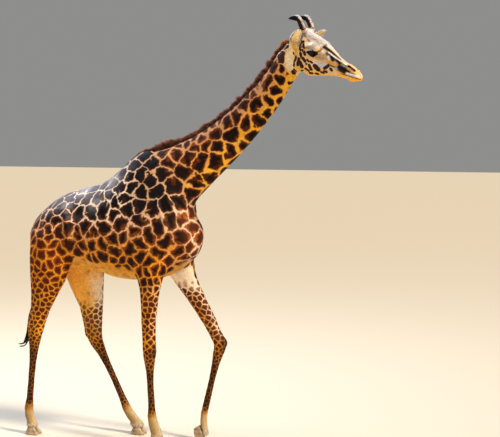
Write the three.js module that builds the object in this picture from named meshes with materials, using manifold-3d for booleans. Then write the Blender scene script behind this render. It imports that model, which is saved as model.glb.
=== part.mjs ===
// A walking Masai giraffe, a young cow, as a still life-size model.
// Millimetres. +X is the way she walks, +Y her left side, +Z up; the ground is z = 0.
// The flesh is built whole from swept egg-shaped tubes and then parted with thin cuts,
// so that every length of it is a named solid with a close-fitting neighbour.
import * as THREE from "three";
import { mergeVertices } from "three/addons/utils/BufferGeometryUtils.js";
import Module from "manifold-3d";

const wasm = await Module();
wasm.setup();

// ---------------------------------------------------------------- driving sizes
const GAP = 0.4; // left between touching solids
const FAR = 3000; // reach of a parting block beyond the body
const MIDDLE = new THREE.Vector3(-24, -12, 0); // what the finished animal is centred on
const RIGHT = -1; // sign of Y on the right side
const LEFT = 1;

const BELLY_LINE = 1690; // height of the barrel's widest level
const WITHERS_X = -200; // where the neck leaves the back
const MANE_HEIGHT = 56; // standing hair above the crest of the neck
const MANE_HALF_WIDTH = 19;
const TUFT_LEVEL = 1085; // where the bare tail ends and its black hair begins

const SKULL_AT = new THREE.Vector3(910, -90, 3120); // middle of the back of the skull
const SKULL_YAW = -12; // degrees, towards her right
const SKULL_PITCH = 26; // nose down
const SKULL_ROLL = 13; // left side up
const EYE_RADIUS = 27;
const EYE_AT = [186, 82, 88]; // in the skull's own frame, left eye
const HORNS = {
  right: { at: [48, -50, 180], top: [-6, -60, 268], tuft: 66, droop: 22 },
  left: { at: [56, 50, 180], top: [2, 60, 249], tuft: 48, droop: 6 },
};
const EARS = {
  right: { at: [10, -72, 38], tip: [75, -146, 215], face: [0.3, -0.9, -0.35], bow: 17 },
  left: { at: [38, 70, 52], tip: [92, 194, 168], face: [0.9, -0.35, -0.05], bow: 16 },
};

const HOOF_HEIGHT = 76;
const CLAW_HALF_WIDTH = 28;

// ---------------------------------------------------------------- colours
const COAT = new THREE.MeshStandardMaterial({ color: 0x6b3a18, roughness: 0.75, metalness: 0 });
const PALE_COAT = new THREE.MeshStandardMaterial({ color: 0xd9b07a, roughness: 0.8, metalness: 0 });
const MANE_HAIR = new THREE.MeshStandardMaterial({ color: 0x7a3418, roughness: 0.85, metalness: 0 });
const BLACK_HAIR = new THREE.MeshStandardMaterial({ color: 0x17110e, roughness: 0.7, metalness: 0 });
const HORN_SKIN = new THREE.MeshStandardMaterial({ color: 0x8a6f5c, roughness: 0.8, metalness: 0 });
const HOOF_HORN = new THREE.MeshStandardMaterial({ color: 0x7c6a58, roughness: 0.55, metalness: 0 });
const EYE_BALL = new THREE.MeshStandardMaterial({ color: 0x120b08, roughness: 0.08, metalness: 0 });

// ---------------------------------------------------------------- making solids
const vec = (x, y, z) => new THREE.Vector3(x, y, z);
const power = (value, n) => Math.sign(value) * Math.abs(value) ** (2 / n);

// A geometry as a closed solid, with its shared corners merged.
function solid(geometry) {
  const bare = geometry.clone();
  bare.deleteAttribute("normal");
  bare.deleteAttribute("uv");
  const merged = mergeVertices(bare, 1e-3);
  return new wasm.Manifold(
    new wasm.Mesh({
      numProp: 3,
      vertProperties: new Float32Array(merged.attributes.position.array),
      triVerts: new Uint32Array(merged.index.array),
    }),
  );
}

function meshOf(made, name, material) {
  const { vertProperties, triVerts, numProp } = made.getMesh();
  const places = new Float32Array((vertProperties.length / numProp) * 3);
  for (let i = 0; i < places.length / 3; i++) {
    places.set(vertProperties.subarray(i * numProp, i * numProp + 3), i * 3);
  }
  const geometry = new THREE.BufferGeometry();
  geometry.setAttribute("position", new THREE.BufferAttribute(places, 3));
  geometry.setIndex(new THREE.BufferAttribute(new Uint32Array(triVerts), 1));
  geometry.computeVertexNormals();
  const mesh = new THREE.Mesh(geometry, material);
  mesh.name = name;
  return mesh;
}

// One ring of a swept tube: where its middle is, how far it reaches over and under the middle
// (in front of and behind it, on a leg), and how far to each side.
const ring = (x, y, z, over, under, wide) => ({ at: vec(x, y, z), sizes: vec(over, under, wide) });

// A closed tube through rings. A cylinder's own grid is bent along the line of the rings.
// `peak` and `square` shape the upper and lower half of a ring: 2 is round, 1 a rhombus.
function sweep(rings, { around = 16, along = 20, peak = () => 2, square = 2, side = vec(0, 1, 0) } = {}) {
  const line = new THREE.CatmullRomCurve3(rings.map((r) => r.at), false, "centripetal");
  const sizes = new THREE.CatmullRomCurve3(rings.map((r) => r.sizes), false, "catmullrom", 0.5);
  const geometry = new THREE.CylinderGeometry(1, 1, 1, around, along);
  const grid = geometry.attributes.position;
  const point = vec(0, 0, 0);
  for (let i = 0; i < grid.count; i++) {
    point.fromBufferAttribute(grid, i);
    const share = THREE.MathUtils.clamp(0.5 - point.y, 0, 1);
    const reach = Math.hypot(point.x, point.z);
    const n = point.z > 0 ? peak(share) : square;
    const across = reach > 0.5 ? power(point.x, n) : 0;
    const up = reach > 0.5 ? power(point.z, n) : 0;
    const tangent = line.getTangent(share);
    const over = tangent.clone().cross(side).normalize();
    const level = over.clone().cross(tangent).normalize();
    const size = sizes.getPoint(share);
    const middle = line.getPoint(share);
    middle.addScaledVector(level, across * size.z);
    middle.addScaledVector(over, up * (up > 0 ? size.x : size.y));
    grid.setXYZ(i, middle.x, middle.y, middle.z);
  }
  return geometry;
}

// An egg-shaped swelling, such as a muscle or the point of a joint.
function swelling(at, radii, { around = 10, tilt = 0 } = {}) {
  const ball = new THREE.SphereGeometry(1, around, Math.max(5, Math.round(around * 0.6)));
  ball.scale(...radii);
  ball.rotateY(THREE.MathUtils.degToRad(tilt));
  return ball.translate(...at);
}

const joined = (solids) => solids.reduce((whole, piece) => whole.add(piece));
const biggest = (made) => made.decompose().sort((a, b) => b.volume() - a.volume())[0];

// Parts a solid with a thin flat cut through a point: [what the normal points to, the rest].
function parted(whole, point, normal) {
  const n = vec(...normal).normalize();
  const d = n.dot(vec(...point));
  return [
    whole.trimByPlane([n.x, n.y, n.z], d + GAP / 2),
    whole.trimByPlane([-n.x, -n.y, -n.z], -d + GAP / 2),
  ];
}

// What of a solid stands outside the flesh, moved off it by the gap.
const liftedOff = (flesh, made, way) =>
  made.subtract(flesh).translate(vec(...way).setLength(2 * GAP).toArray());

// The solid space on the near side of every plane [point, outward normal], grown by `grow`.
function blockOf(planes, grow = 0) {
  let block = solid(new THREE.BoxGeometry(2 * FAR, 2 * FAR, 2 * FAR).translate(0, 0, FAR / 2));
  for (const [point, normal] of planes) {
    const n = vec(...normal).normalize();
    block = block.trimByPlane([-n.x, -n.y, -n.z], -n.dot(vec(...point)) - grow);
  }
  return block;
}

// Takes a block's share out of a whole: [the share, what is left].
const takenOut = (whole, planes) => [
  whole.intersect(blockOf(planes)),
  whole.subtract(blockOf(planes, GAP)),
];

// ---------------------------------------------------------------- trunk
function trunkSolid() {
  const z = BELLY_LINE;
  const barrel = sweep(
    [
      ring(-1408, 0, z - 60, 30, 40, 25),
      ring(-1390, 0, z - 55, 120, 130, 90),
        ring(-1310, 0, z - 40, 202, 220, 165),
      ring(-1140, 0, z - 30, 325, 255, 222),
      ring(-950, 0, z - 20, 376, 228, 245),
      ring(-770, 0, z - 10, 415, 335, 268),
      ring(-600, 0, z, 492, 390, 280),
      ring(-430, 0, z + 20, 610, 405, 276),
      ring(-270, 0, z + 40, 665, 425, 256),
      ring(-110, 0, z + 20, 520, 370, 226),
      ring(0, 0, z, 212, 250, 178),
      ring(84, 0, z, 132, 150, 118),
      ring(118, 0, z, 40, 40, 30),
    ],
    { around: 20, along: 17, peak: (share) => (share < 0.3 ? 1.85 : share < 0.7 ? 1.6 : 1.7), square: 1.9 },
  );
  return solid(barrel);
}

// ---------------------------------------------------------------- neck
const NECK = [
  ring(-330, 0, 1990, 320, 250, 165),
  ring(-150, 0, 2105, 292, 262, 156),
  ring(10, 0, 2212, 248, 220, 136),
  ring(165, -4, 2328, 198, 192, 120),
  ring(360, -14, 2484, 166, 168, 106),
  ring(668, -44, 2786, 130, 132, 87),
  ring(862, -74, 3045, 116, 112, 78),
  ring(925, -88, 3130, 100, 100, 72),
];
const NECK_SWEEP = { around: 16, along: 14 };

// ---------------------------------------------------------------- legs
// The line of each leg: hip or shoulder, thigh or elbow, the middle of the next bone, hock or
// knee, the middle of the cannon, fetlock, coronet. `slim` thins the bones of a leg in turn.
const LEGS = {
  hind_right: {
    line: [
      vec(-1165, -140, 1690),
      vec(-1182, -158, 1390),
      vec(-1248, -156, 1140),
      vec(-1318, -152, 890),
      vec(-1363, -151, 500),
      vec(-1394, -150, 182),
      vec(-1362, -150, HOOF_HEIGHT),
    ],
    side: RIGHT,
    toe_down: 0,
    slim: [1, 1, 1, 1, 1, 1],
  },
  hind_left: {
    line: [
      vec(-1120, 140, 1690),
      vec(-1020, 155, 1330),
      vec(-960, 154, 1065),
      vec(-937, 152, 800),
      vec(-772, 151, 490),
      vec(-622, 150, 182),
      vec(-538, 150, HOOF_HEIGHT),
    ],
    side: LEFT,
    toe_down: 0,
    slim: [1, 1, 1.08, 1, 1, 1],
  },
  fore_right: {
    line: [
      vec(-235, -140, 1720),
      vec(-272, -158, 1400),
      vec(-293, -155, 985),
      vec(-290, -152, 752),
      vec(-281, -151, 450),
      vec(-268, -150, 212),
      vec(-226, -150, HOOF_HEIGHT),
    ],
    side: RIGHT,
    toe_down: 0,
    slim: [1, 1, 1, 1, 1, 1],
  },
  fore_left: {
    line: [
      vec(-190, 140, 1720),
      vec(-140, 155, 1390),
      vec(106, 152, 985),
      vec(200, 150, 796),
      vec(113, 147, 440),
      vec(58, 145, 205),
      vec(56, 143, 91),
    ],
    side: LEFT,
    toe_down: 60,
    slim: [1, 0.96, 0.88, 0.94, 0.96, 0.66],
  },
};
// Girths down a leg: [bone, share of its length, to the front, to the back, to each side].
const HIND_GIRTHS = [
  [0, 0.0, 175, 180, 92],
  [0, 0.5, 200, 205, 112],
  [1, 0.0, 196, 192, 110],
  [1, 0.44, 164, 166, 96],
  [1, 0.94, 120, 122, 76],
  [2, 0.4, 90, 94, 57],
  [2, 0.76, 78, 83, 47],
  [3, 0.0, 78, 80, 47],
  [3, 0.34, 51, 52, 38],
  [3, 0.67, 36, 37, 32],
  [4, 0.1, 32, 33, 29],
  [4, 0.7, 32, 34, 30],
  [5, 0.0, 44, 47, 39],
  [5, 0.5, 41, 40, 38],
  [5, 1.0, 52, 46, 49],
];
const FORE_GIRTHS = [
  [0, 0.0, 150, 160, 75],
  [0, 0.5, 160, 165, 92],
  [1, 0.0, 134, 140, 84],
  [1, 0.32, 104, 108, 69],
  [1, 0.62, 84, 86, 57],
  [1, 1.0, 66, 66, 50],
  [2, 0.5, 63, 63, 46],
  [3, 0.0, 64, 60, 50],
  [3, 0.2, 55, 54, 44],
  [3, 0.4, 40, 42, 37],
  [3, 0.8, 32, 33, 31],
  [4, 0.7, 32, 34, 30],
  [5, 0.0, 43, 45, 40],
  [5, 0.5, 46, 45, 40],
  [5, 1.0, 52, 48, 49],
];
const isHind = (name) => name.startsWith("hind");

// The way up from a foot's hooves: straight up, but for the one that is just leaving the ground.
function footWay(name) {
  const turn = THREE.MathUtils.degToRad(LEGS[name].toe_down);
  return vec(Math.sin(turn), 0, Math.cos(turn));
}

function legSolid(name) {
  const { line, slim } = LEGS[name];
  const girths = isHind(name) ? HIND_GIRTHS : FORE_GIRTHS;
  const rings = girths.map(([bone, share, front, back, wide]) => {
    const at = line[bone].clone().lerp(line[bone + 1], share);
    return ring(at.x, at.y, at.z, front * slim[bone], back * slim[bone], wide);
  });
  const last = rings[rings.length - 1];
  const beyond = line[6].clone().lerp(line[5], -0.4);
  rings.push(ring(beyond.x, beyond.y, beyond.z, ...last.sizes.toArray()));
  const up = footWay(name);
  const leg = solid(sweep(rings, { around: 12, along: 18 })).trimByPlane(
    up.toArray(),
    up.dot(line[6]) + GAP,
  );
  const joint = line[3];
  if (isHind(name)) {
    const heel = line[2].clone().sub(joint).normalize();
    const tilt = THREE.MathUtils.radToDeg(Math.atan2(heel.x, heel.z));
    const at = joint.clone().addScaledVector(heel, 34).add(vec(-66 * heel.z, 0, 66 * heel.x));
    return leg.add(solid(swelling(at.toArray(), [26, 25, 58], { tilt, around: 8 })));
  }
  return leg.add(solid(swelling([joint.x + 18, joint.y, joint.z + 12], [50, 46, 62], { around: 8 })));
}

// The cuts across a leg: at the hock or knee, and above the fetlock.
function legLengths(name, leg) {
  const { line } = LEGS[name];
  const across = (at, towards) => [at.toArray(), towards.clone().sub(at).toArray()];
  const below = line[3].clone().lerp(line[4], 0.04);
  const above = line[5].clone().lerp(line[4], 0.24);
  const [upper, rest] = parted(leg, ...across(below, line[2].clone().lerp(line[3], 0.4)));
  const [shank, foot] = parted(rest, ...across(above, line[4]));
  return { upper, shank, foot };
}

// ---------------------------------------------------------------- hooves
// One claw of a cloven hoof, its sole flat, in the foot's own frame with the coronet at the origin.
function clawGeometry(side) {
  const y = side * (CLAW_HALF_WIDTH + 1.5);
  return sweep(
    [
      ring(-6, y, 9, 48, 38, CLAW_HALF_WIDTH - 5),
      ring(-3, y, -HOOF_HEIGHT * 0.35, 58, 46, CLAW_HALF_WIDTH - 2),
      ring(3, y, -HOOF_HEIGHT * 0.8, 69, 55, CLAW_HALF_WIDTH),
      ring(3, y, -HOOF_HEIGHT - 4, 71, 55, CLAW_HALF_WIDTH),
    ],
    { around: 8, along: 3, square: 2.2 },
  );
}

function clawSolid(name, side) {
  const { line, toe_down } = LEGS[name];
  const coronet = line[6];
  const geometry = clawGeometry(side);
  geometry.rotateY(THREE.MathUtils.degToRad(toe_down));
  geometry.translate(coronet.x, coronet.y, coronet.z);
  const up = footWay(name);
  return solid(geometry)
    .trimByPlane([0, 0, 1], 0)
    .trimByPlane([-up.x, -up.y, -up.z], -up.dot(coronet));
}

// ---------------------------------------------------------------- head
const skullFrame = new THREE.Matrix4()
  .makeRotationFromEuler(
    new THREE.Euler(
      THREE.MathUtils.degToRad(SKULL_ROLL),
      THREE.MathUtils.degToRad(SKULL_PITCH),
      THREE.MathUtils.degToRad(SKULL_YAW),
      "ZYX",
    ),
  )
  .setPosition(SKULL_AT);
const onSkull = (geometry) => solid(geometry.applyMatrix4(skullFrame));
const skullPoint = (x, y, z) => vec(x, y, z).applyMatrix4(skullFrame).toArray();
const skullWay = (x, y, z) => vec(x, y, z).transformDirection(skullFrame).toArray();

function headSolid() {
  const face = sweep(
    [
      ring(-42, 0, 40, 45, 60, 45),
      ring(-8, 0, 45, 95, 120, 72),
      ring(60, 0, 60, 130, 178, 88),
      ring(130, 0, 78, 122, 212, 94),
      ring(200, 0, 84, 102, 206, 96),
      ring(270, 0, 78, 89, 180, 80),
      ring(345, 0, 66, 71, 130, 62),
      ring(420, 0, 56, 57, 80, 52),
      ring(490, 0, 52, 57, 56, 53),
      ring(550, 0, 48, 44, 44, 50),
      ring(590, 0, 44, 26, 24, 36),
      ring(604, 0, 42, 8, 8, 10),
    ],
    { around: 14, along: 14 },
  );
  const swellings = [
    swelling([60, 0, 150], [80, 72, 58], { tilt: 12, around: 8 }), // the crown under the horns
    swelling([526, 0, 13], [42, 36, 22], { tilt: -8, around: 8 }), // the chin and lower lip
  ];
  for (const side of [RIGHT, LEFT]) {
    swellings.push(
      swelling([198, side * 80, 118], [52, 28, 44], { tilt: 14, around: 8 }), // the brow
      swelling([100, side * 60, -50], [64, 26, 86], { tilt: 16, around: 8 }), // the cheek
    );
  }
  return joined([face, ...swellings].map(onSkull));
}

function hornSolid(hand) {
  const { at, top, tuft, droop } = HORNS[hand];
  const [x, y, z] = at;
  const [tx, ty, tz] = top;
  return onSkull(
    sweep(
      [
        ring(x, y, z, 30, 30, 28),
        ring(x - 14, y + (ty - y) * 0.3, z + 34, 26, 25, 23),
        ring(tx + 16, ty, tz - 26, 24, 24, 21),
        ring(tx - 6, ty, tz - 3, 20, 26, 23),
        ring(tx - tuft / 2, ty, tz - droop * 0.3, 15, 21, 18),
        ring(tx - tuft, ty, tz - droop, 6, 7, 6),
      ],
      { around: 8, along: 8 },
    ),
  );
}

function earSolid(hand) {
  const { at, tip, face, bow } = EARS[hand];
  const root = vec(...at);
  const way = vec(...tip).sub(root);
  const leaf = (share, back, half, thick) => {
    const p = root.clone().addScaledVector(way, share);
    return ring(p.x - back, p.y, p.z, half, half, thick);
  };
  return onSkull(
    sweep(
      [
        leaf(0.0, 0, 22, 20),
        leaf(0.18, bow * 0.7, 32, 17),
        leaf(0.45, bow, 42, 12),
        leaf(0.72, bow * 0.7, 34, 9),
        leaf(0.92, bow * 0.2, 15, 6),
        leaf(1.0, 0, 3, 2),
      ],
      { around: 8, along: 8, side: vec(...face).normalize() },
    ),
  );
}

function eyeSolid(side, radius) {
  const [x, y, z] = EYE_AT;
  return onSkull(new THREE.SphereGeometry(radius, 10, 7).translate(x, side * y, z));
}

// ---------------------------------------------------------------- hair and tail
function maneSolid() {
  const crest = new THREE.CatmullRomCurve3(NECK.map((r) => r.at), false, "centripetal");
  const sizes = new THREE.CatmullRomCurve3(NECK.map((r) => r.sizes), false, "catmullrom", 0.5);
  const half = MANE_HEIGHT / 2;
  const rings = [
    ring(-556, 0, 2238, 8, 12, 6),
    ring(-500, 0, 2294, 20, 34, MANE_HALF_WIDTH - 4),
    ring(-400, 0, 2364, half, 44, MANE_HALF_WIDTH),
    ring(-290, 0, 2418, half, 54, MANE_HALF_WIDTH),
    ring(-160, 0, 2448, half, 58, MANE_HALF_WIDTH),
  ];
  for (const share of [0.35, 0.45, 0.56, 0.67, 0.78, 0.88, 0.985]) {
    const over = crest.getTangent(share).cross(vec(0, 1, 0)).normalize();
    const at = crest.getPoint(share).addScaledVector(over, sizes.getPoint(share).x + half - 10);
    rings.push(ring(at.x, at.y, at.z, half, half, MANE_HALF_WIDTH));
  }
  const end = rings[rings.length - 1].at;
  rings.push(ring(end.x + 34, end.y - 8, end.z + 28, 22, 26, MANE_HALF_WIDTH - 3));
  rings.push(ring(end.x + 66, end.y - 16, end.z + 44, 8, 10, 8));
  return solid(sweep(rings, { around: 6, along: 21 }));
}

const TAIL = [
  ring(-1370, 0, 1742, 30, 30, 34),
  ring(-1412, -2, 1690, 26, 28, 27),
  ring(-1428, -6, 1560, 18, 18, 19),
  ring(-1424, -14, 1380, 13, 14, 14),
  ring(-1404, -26, 1200, 12, 12, 12),
  ring(-1396, -34, 1080, 13, 13, 13),
];
const TAIL_TUFT = [
  ring(-1396, -34, 1100, 13, 13, 13),
  ring(-1402, -38, 1010, 32, 34, 26),
  ring(-1410, -42, 910, 42, 48, 30),
  ring(-1426, -44, 830, 28, 36, 22),
  ring(-1462, -46, 765, 12, 14, 11),
  ring(-1506, -46, 722, 5, 5, 5),
];

// ---------------------------------------------------------------- assembly
const giraffe = new THREE.Group();
const add = (made, name, material) => giraffe.add(meshOf(biggest(made), name, material));

const neckWhole = solid(sweep(NECK, NECK_SWEEP));
const legWholes = Object.keys(LEGS).map(legSolid);
let flesh = joined([trunkSolid(), neckWhole, headSolid(), ...legWholes]);

// The tail's root, the ears and the horns are parted just outside the flesh that carries them.
const tailWhole = solid(sweep(TAIL, { around: 7, along: 8 }));
const [tail] = parted(tailWhole, [-1404, 0, 1700], [-0.75, 0, -0.66]);
const tailHair = solid(sweep(TAIL_TUFT, { around: 7, along: 7 }));
const bone = tail.trimByPlane([0, 0, 1], TUFT_LEVEL + GAP);
add(liftedOff(flesh, bone, [-1, 0, 0]), "tail", COAT);
add(tailHair.trimByPlane([0, 0, -1], -TUFT_LEVEL), "tail_tuft", BLACK_HAIR);

const mane = liftedOff(flesh, maneSolid(), [-0.6, 0, 0.8]);
for (const side of [RIGHT, LEFT]) {
  const hand = side === RIGHT ? "right" : "left";
  const [hx, hy, hz] = HORNS[hand].at;
  const hornWay = skullWay(-0.4, side * 0.1, 1);
  const [horn, hornRoot] = parted(hornSolid(hand), skullPoint(hx, hy, hz + 26), hornWay);
  add(liftedOff(flesh, horn, hornWay), "horn_" + hand, HORN_SKIN);
  const { at, tip } = EARS[hand];
  const earWay = vec(...tip).sub(vec(...at));
  const earCut = vec(...at).addScaledVector(earWay, 0.16);
  const [ear, earRoot] = parted(earSolid(hand), skullPoint(...earCut), skullWay(...earWay));
  add(liftedOff(flesh, ear, skullWay(...earWay)), "ear_" + hand, COAT);
  add(eyeSolid(side, EYE_RADIUS), "eye_" + hand, EYE_BALL);
  flesh = joined([flesh, hornRoot, earRoot]).subtract(eyeSolid(side, EYE_RADIUS + GAP));
}

// A leg is parted from the trunk by planes: the midline, a slant along the belly's edge, and a
// front and a top that follow the fold of the flank or of the elbow.
const legBlock = (name, side) =>
  isHind(name)
    ? [
        [[0, side * GAP, 0], [0, -side, 0]],
        [[0, 0, 1372], [0, -side * 0.8, 0.6]],
        [[name === "hind_left" ? -845 : -955, 0, 1450], [0.96, 0, 0.27]],
        [[-960, 0, 1600], [0.6, 0, 0.8]],
      ]
    : [
        [[0, side * GAP, 0], [0, -side, 0]],
        [[0, 0, 1315], [0, -side * 0.78, 0.62]],
        [[-430, 0, 0], [-1, 0, 0]],
        [[40, 0, 1560], [0.45, 0, 0.9]],
      ];
for (const name of Object.keys(LEGS)) {
  const { side } = LEGS[name];
  const [share, rest] = takenOut(flesh, legBlock(name, side));
  flesh = rest;
  const { upper, shank, foot } = legLengths(name, biggest(share));
  add(upper, name + "_upper_leg", COAT);
  add(shank, name + "_shank", COAT);
  add(foot, name + "_pastern", PALE_COAT);
  for (const claw of [RIGHT, LEFT]) {
    const hand = claw === side ? "outer" : "inner";
    add(clawSolid(name, claw), name + "_claw_" + hand, HOOF_HORN);
  }
}

const [neckAndHead, trunk] = parted(flesh, [WITHERS_X, 0, 2420], [0.891, 0, 0.454]);
const [upperNeckAndHead, lowerNeck] = parted(neckAndHead, [430, 0, 2560], [0.74, -0.06, 0.67]);
const [head, upperNeck] = parted(upperNeckAndHead, [893, -78, 3050], [0.66, -0.2, 0.42]);
add(trunk, "trunk", COAT);
add(lowerNeck, "neck_lower", COAT);
add(upperNeck, "neck_upper", COAT);

const [jaw, skull] = (() => {
  const below = (p, n) => [skullPoint(...p), skullWay(...n)];
  return takenOut(head, [below([430, 0, 36], [-0.09, 0, 1]), below([172, 0, 0], [-1, 0, 0.45])]);
})();
add(skull, "head", COAT);
add(jaw, "lower_jaw", COAT);
add(mane, "mane", MANE_HAIR);

giraffe.position.copy(MIDDLE).negate();

export default giraffe;
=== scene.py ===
# %% [markdown]
# # A walking giraffe, life size
# A slender young Masai giraffe cow walks across a plain floor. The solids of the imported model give
# her size, stance and outline. This file gives her a living surface: one skin without a seam,
# patches and lines that are drawn on that skin, short hair that lies flat, a brush of a mane, a
# tail tuft, horns, hooves and eyes. Lengths are in metres, but most tables are in millimetres and
# go through mm() or a division by 1000.

# %% Load the frame
from math import cos, pi, radians, sin

import bmesh
import bpy
import numpy as np
from mathutils import Matrix, Vector, noise
from mathutils.bvhtree import BVHTree
from mathutils.kdtree import KDTree


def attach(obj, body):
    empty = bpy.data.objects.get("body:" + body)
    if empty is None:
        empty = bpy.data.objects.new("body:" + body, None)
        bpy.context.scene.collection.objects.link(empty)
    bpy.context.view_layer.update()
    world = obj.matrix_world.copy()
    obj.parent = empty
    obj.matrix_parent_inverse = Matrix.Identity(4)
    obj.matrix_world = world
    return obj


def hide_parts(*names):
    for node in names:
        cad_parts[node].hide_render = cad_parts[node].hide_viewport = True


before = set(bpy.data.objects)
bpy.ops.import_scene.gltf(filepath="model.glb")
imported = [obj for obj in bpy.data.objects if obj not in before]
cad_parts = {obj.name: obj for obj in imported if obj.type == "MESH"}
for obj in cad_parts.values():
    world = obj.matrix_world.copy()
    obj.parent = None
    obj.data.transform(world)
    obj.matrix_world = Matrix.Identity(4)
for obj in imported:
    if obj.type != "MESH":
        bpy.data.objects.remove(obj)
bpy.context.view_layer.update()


# %% Objects and numbers
def new_object(name, data):
    made = bpy.data.objects.new(name, data)
    bpy.context.scene.collection.objects.link(made)
    return made


def linked(name, bm):
    """The bmesh as an object in the scene. The bmesh is freed."""
    mesh = bpy.data.meshes.new(name)
    bm.to_mesh(mesh)
    bm.free()
    return new_object(name, mesh)


def fetched(rows, field, wide=3, kind=float):
    """One field of all the points, edges or faces of a mesh."""
    out = np.zeros(len(rows) * wide, kind)
    rows.foreach_get(field, out)
    return out.reshape(-1, wide) if wide > 1 else out


def mm(*rows):
    """A table in millimetres, turned into metres."""
    return np.array(rows) / 1000


def unit(ways):
    return ways / np.maximum(np.linalg.norm(ways, axis=-1, keepdims=True), 1e-9)


def pull(target, value, mask):
    """Moves the numbers of an array to a value, all the way where the mask is 1."""
    target += (value - target) * mask


# %% [markdown]
# ## Materials as sums
# Colours are given as sRGB hex codes. A Wire is the output of a node, and a sum with it adds the
# node that works it out, so the materials further down read as formulas.

# %% Colours and nodes
MEASURES = ("LENGTH", "DISTANCE", "DOT_PRODUCT")


def linear(code):
    """An sRGB hex code as the linear colour that Blender works in."""
    parts = [int(code[i : i + 2], 16) / 255 for i in (1, 3, 5)]
    return np.array([c / 12.92 if c <= 0.04045 else ((c + 0.055) / 1.055) ** 2.4 for c in parts])


def rgba(code):
    return (*linear(code), 1.0)


class Wire:
    def __init__(self, node, output=0):
        self.socket = node.outputs[output]

    def then(self, what, *others, **inputs):
        kind = "ShaderNodeMath" if self.socket.type == "VALUE" else "ShaderNodeVectorMath"
        node = add(kind, {**dict(enumerate((self, *others))), **inputs}, operation=what)
        return Wire(node, "Value" if what in MEASURES else 0)

    def __add__(self, other):
        return self.then("ADD", other)

    def __sub__(self, other):
        return self.then("SUBTRACT", other)

    def __mul__(self, other):
        return self.then("MULTIPLY", other)

    def __truediv__(self, other):
        return self.then("DIVIDE", other)


def feed(node, inputs):
    """Links or sets the inputs of a node, which are named or numbered."""
    for name, value in inputs.items():
        if isinstance(value, Wire):
            node.id_data.links.new(value.socket, node.inputs[name])
        else:
            node.inputs[name].default_value = value


def add(kind, inputs=None, **settings):
    """Adds a node to the material that was begun last."""
    made = tree.nodes.new(kind)
    for name, value in settings.items():
        setattr(made, name, value)
    feed(made, inputs or {})
    return made


def new_material(name):
    """Begins a material: an empty node tree with a Principled shader joined to its output."""
    global tree
    material = bpy.data.materials.new(name)
    material.use_nodes = True
    tree = material.node_tree
    tree.nodes.clear()
    shader = add("ShaderNodeBsdfPrincipled")
    add("ShaderNodeOutputMaterial", {"Surface": Wire(shader)})
    return material, shader


def own_place():
    return Wire(add("ShaderNodeTexCoord"), "Object")


def read(name, output="Fac"):
    return Wire(add("ShaderNodeAttribute", attribute_name=name), output)


def grade(value, low, high, to_low=0.0, to_high=1.0):
    """A smooth step from low to high."""
    ends = {0: value, 1: low, 2: high, 3: to_low, 4: to_high}
    return Wire(add("ShaderNodeMapRange", ends, interpolation_type="SMOOTHSTEP"))


def mixed(share, first, second, blend="MIX"):
    sides = {0: share, 6: first, 7: second}
    return Wire(add("ShaderNodeMix", sides, data_type="RGBA", blend_type=blend), 2)


def grain(place, scale, detail, output=0, **inputs):
    inputs = {"Vector": place, "Scale": scale, "Detail": detail, **inputs}
    return Wire(add("ShaderNodeTexNoise", inputs), output)


def dents(height, strength, distance):
    inputs = {"Height": height, "Strength": strength, "Distance": distance}
    return Wire(add("ShaderNodeBump", inputs))


# %% [markdown]
# ## Camera, floor and light
# The camera stands two and a half metres high, nearly ten metres away, and looks slightly down.
# Its lens is worked out from how many pixels a metre takes at one metre's distance. The near fore
# hoof falls just below the frame's edge.

# %% Camera
FRAME_WIDE = 500
FOCAL_PIXELS = 1220
SENSOR_MM = 36
CAMERA_AT = (3.785, -8.9195, 2.548)
CAMERA_TURN = 20.0
CAMERA_DOWN = 4.289
camera = new_object("camera", bpy.data.cameras.new("camera"))
camera.data.sensor_width = SENSOR_MM
camera.data.lens = FOCAL_PIXELS * SENSOR_MM / FRAME_WIDE
camera.location = CAMERA_AT
camera.rotation_euler = (radians(90 - CAMERA_DOWN), 0, radians(CAMERA_TURN))
bpy.context.scene.camera = camera
bpy.context.scene.view_settings.view_transform = "Standard"

# %% [markdown]
# The floor is a pale, dull sheet that runs to the horizon, and the sky is a plain pale grey. The
# key light stands high on the right, because a strong light from there draws the back, the chest
# and the brow. A broad weak one beside the camera opens the shadows, and a broad blue one behind
# her left shoulder lays a sheen on the back. The pale warm floor throws light up under the belly.

# %% Floor and lights
FLOOR_REACH = 60.0
LIGHT_WIDE = 5.0
bm = bmesh.new()
bmesh.ops.create_grid(bm, x_segments=1, y_segments=1, size=FLOOR_REACH)
floor = linked("floor", bm)
floor_paint, shader = new_material("matt_pale_floor")
feed(shader, {"Base Color": rgba("#d9cdb8"), "Roughness": 0.95})
floor.data.materials.append(floor_paint)
world = bpy.data.worlds.new("pale_sky")
bpy.context.scene.world = world
world.use_nodes = True
feed(world.node_tree.nodes["Background"], {"Color": rgba("#e2e2e0"), "Strength": 0.36})


def light(name, kind, at, aim, energy, colour, **settings):
    data = bpy.data.lights.new(name, kind)
    data.energy = energy
    data.color = linear(colour)
    for key, value in settings.items():
        setattr(data, key, value)
    lamp = new_object(name, data)
    lamp.location = at
    lamp.rotation_euler = (Vector(aim) - Vector(at)).to_track_quat("-Z", "Y").to_euler()


light("fill", "AREA", (1.0, -10.0, 4.5), (0, 0, 1.6), 150, "#fff4e6", size=LIGHT_WIDE)
light("back_sky", "AREA", (-3.4, 1.2, 6.8), (-0.6, 0, 1.9), 520, "#d5e4ff", size=LIGHT_WIDE)
light("key", "SUN", (0, 0, 0), (-0.72, 0.17, -0.72), 4.1, "#fff3e2", angle=radians(9))

# %% [markdown]
# ## Lines through the body
# Much of what follows asks how far a point of the skin lies along the neck or a leg, and on which
# side. So the neck and the legs each get a line of a few joints, and the head a frame of its own,
# in which x runs down the face, y across it and z up through the brow.

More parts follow.
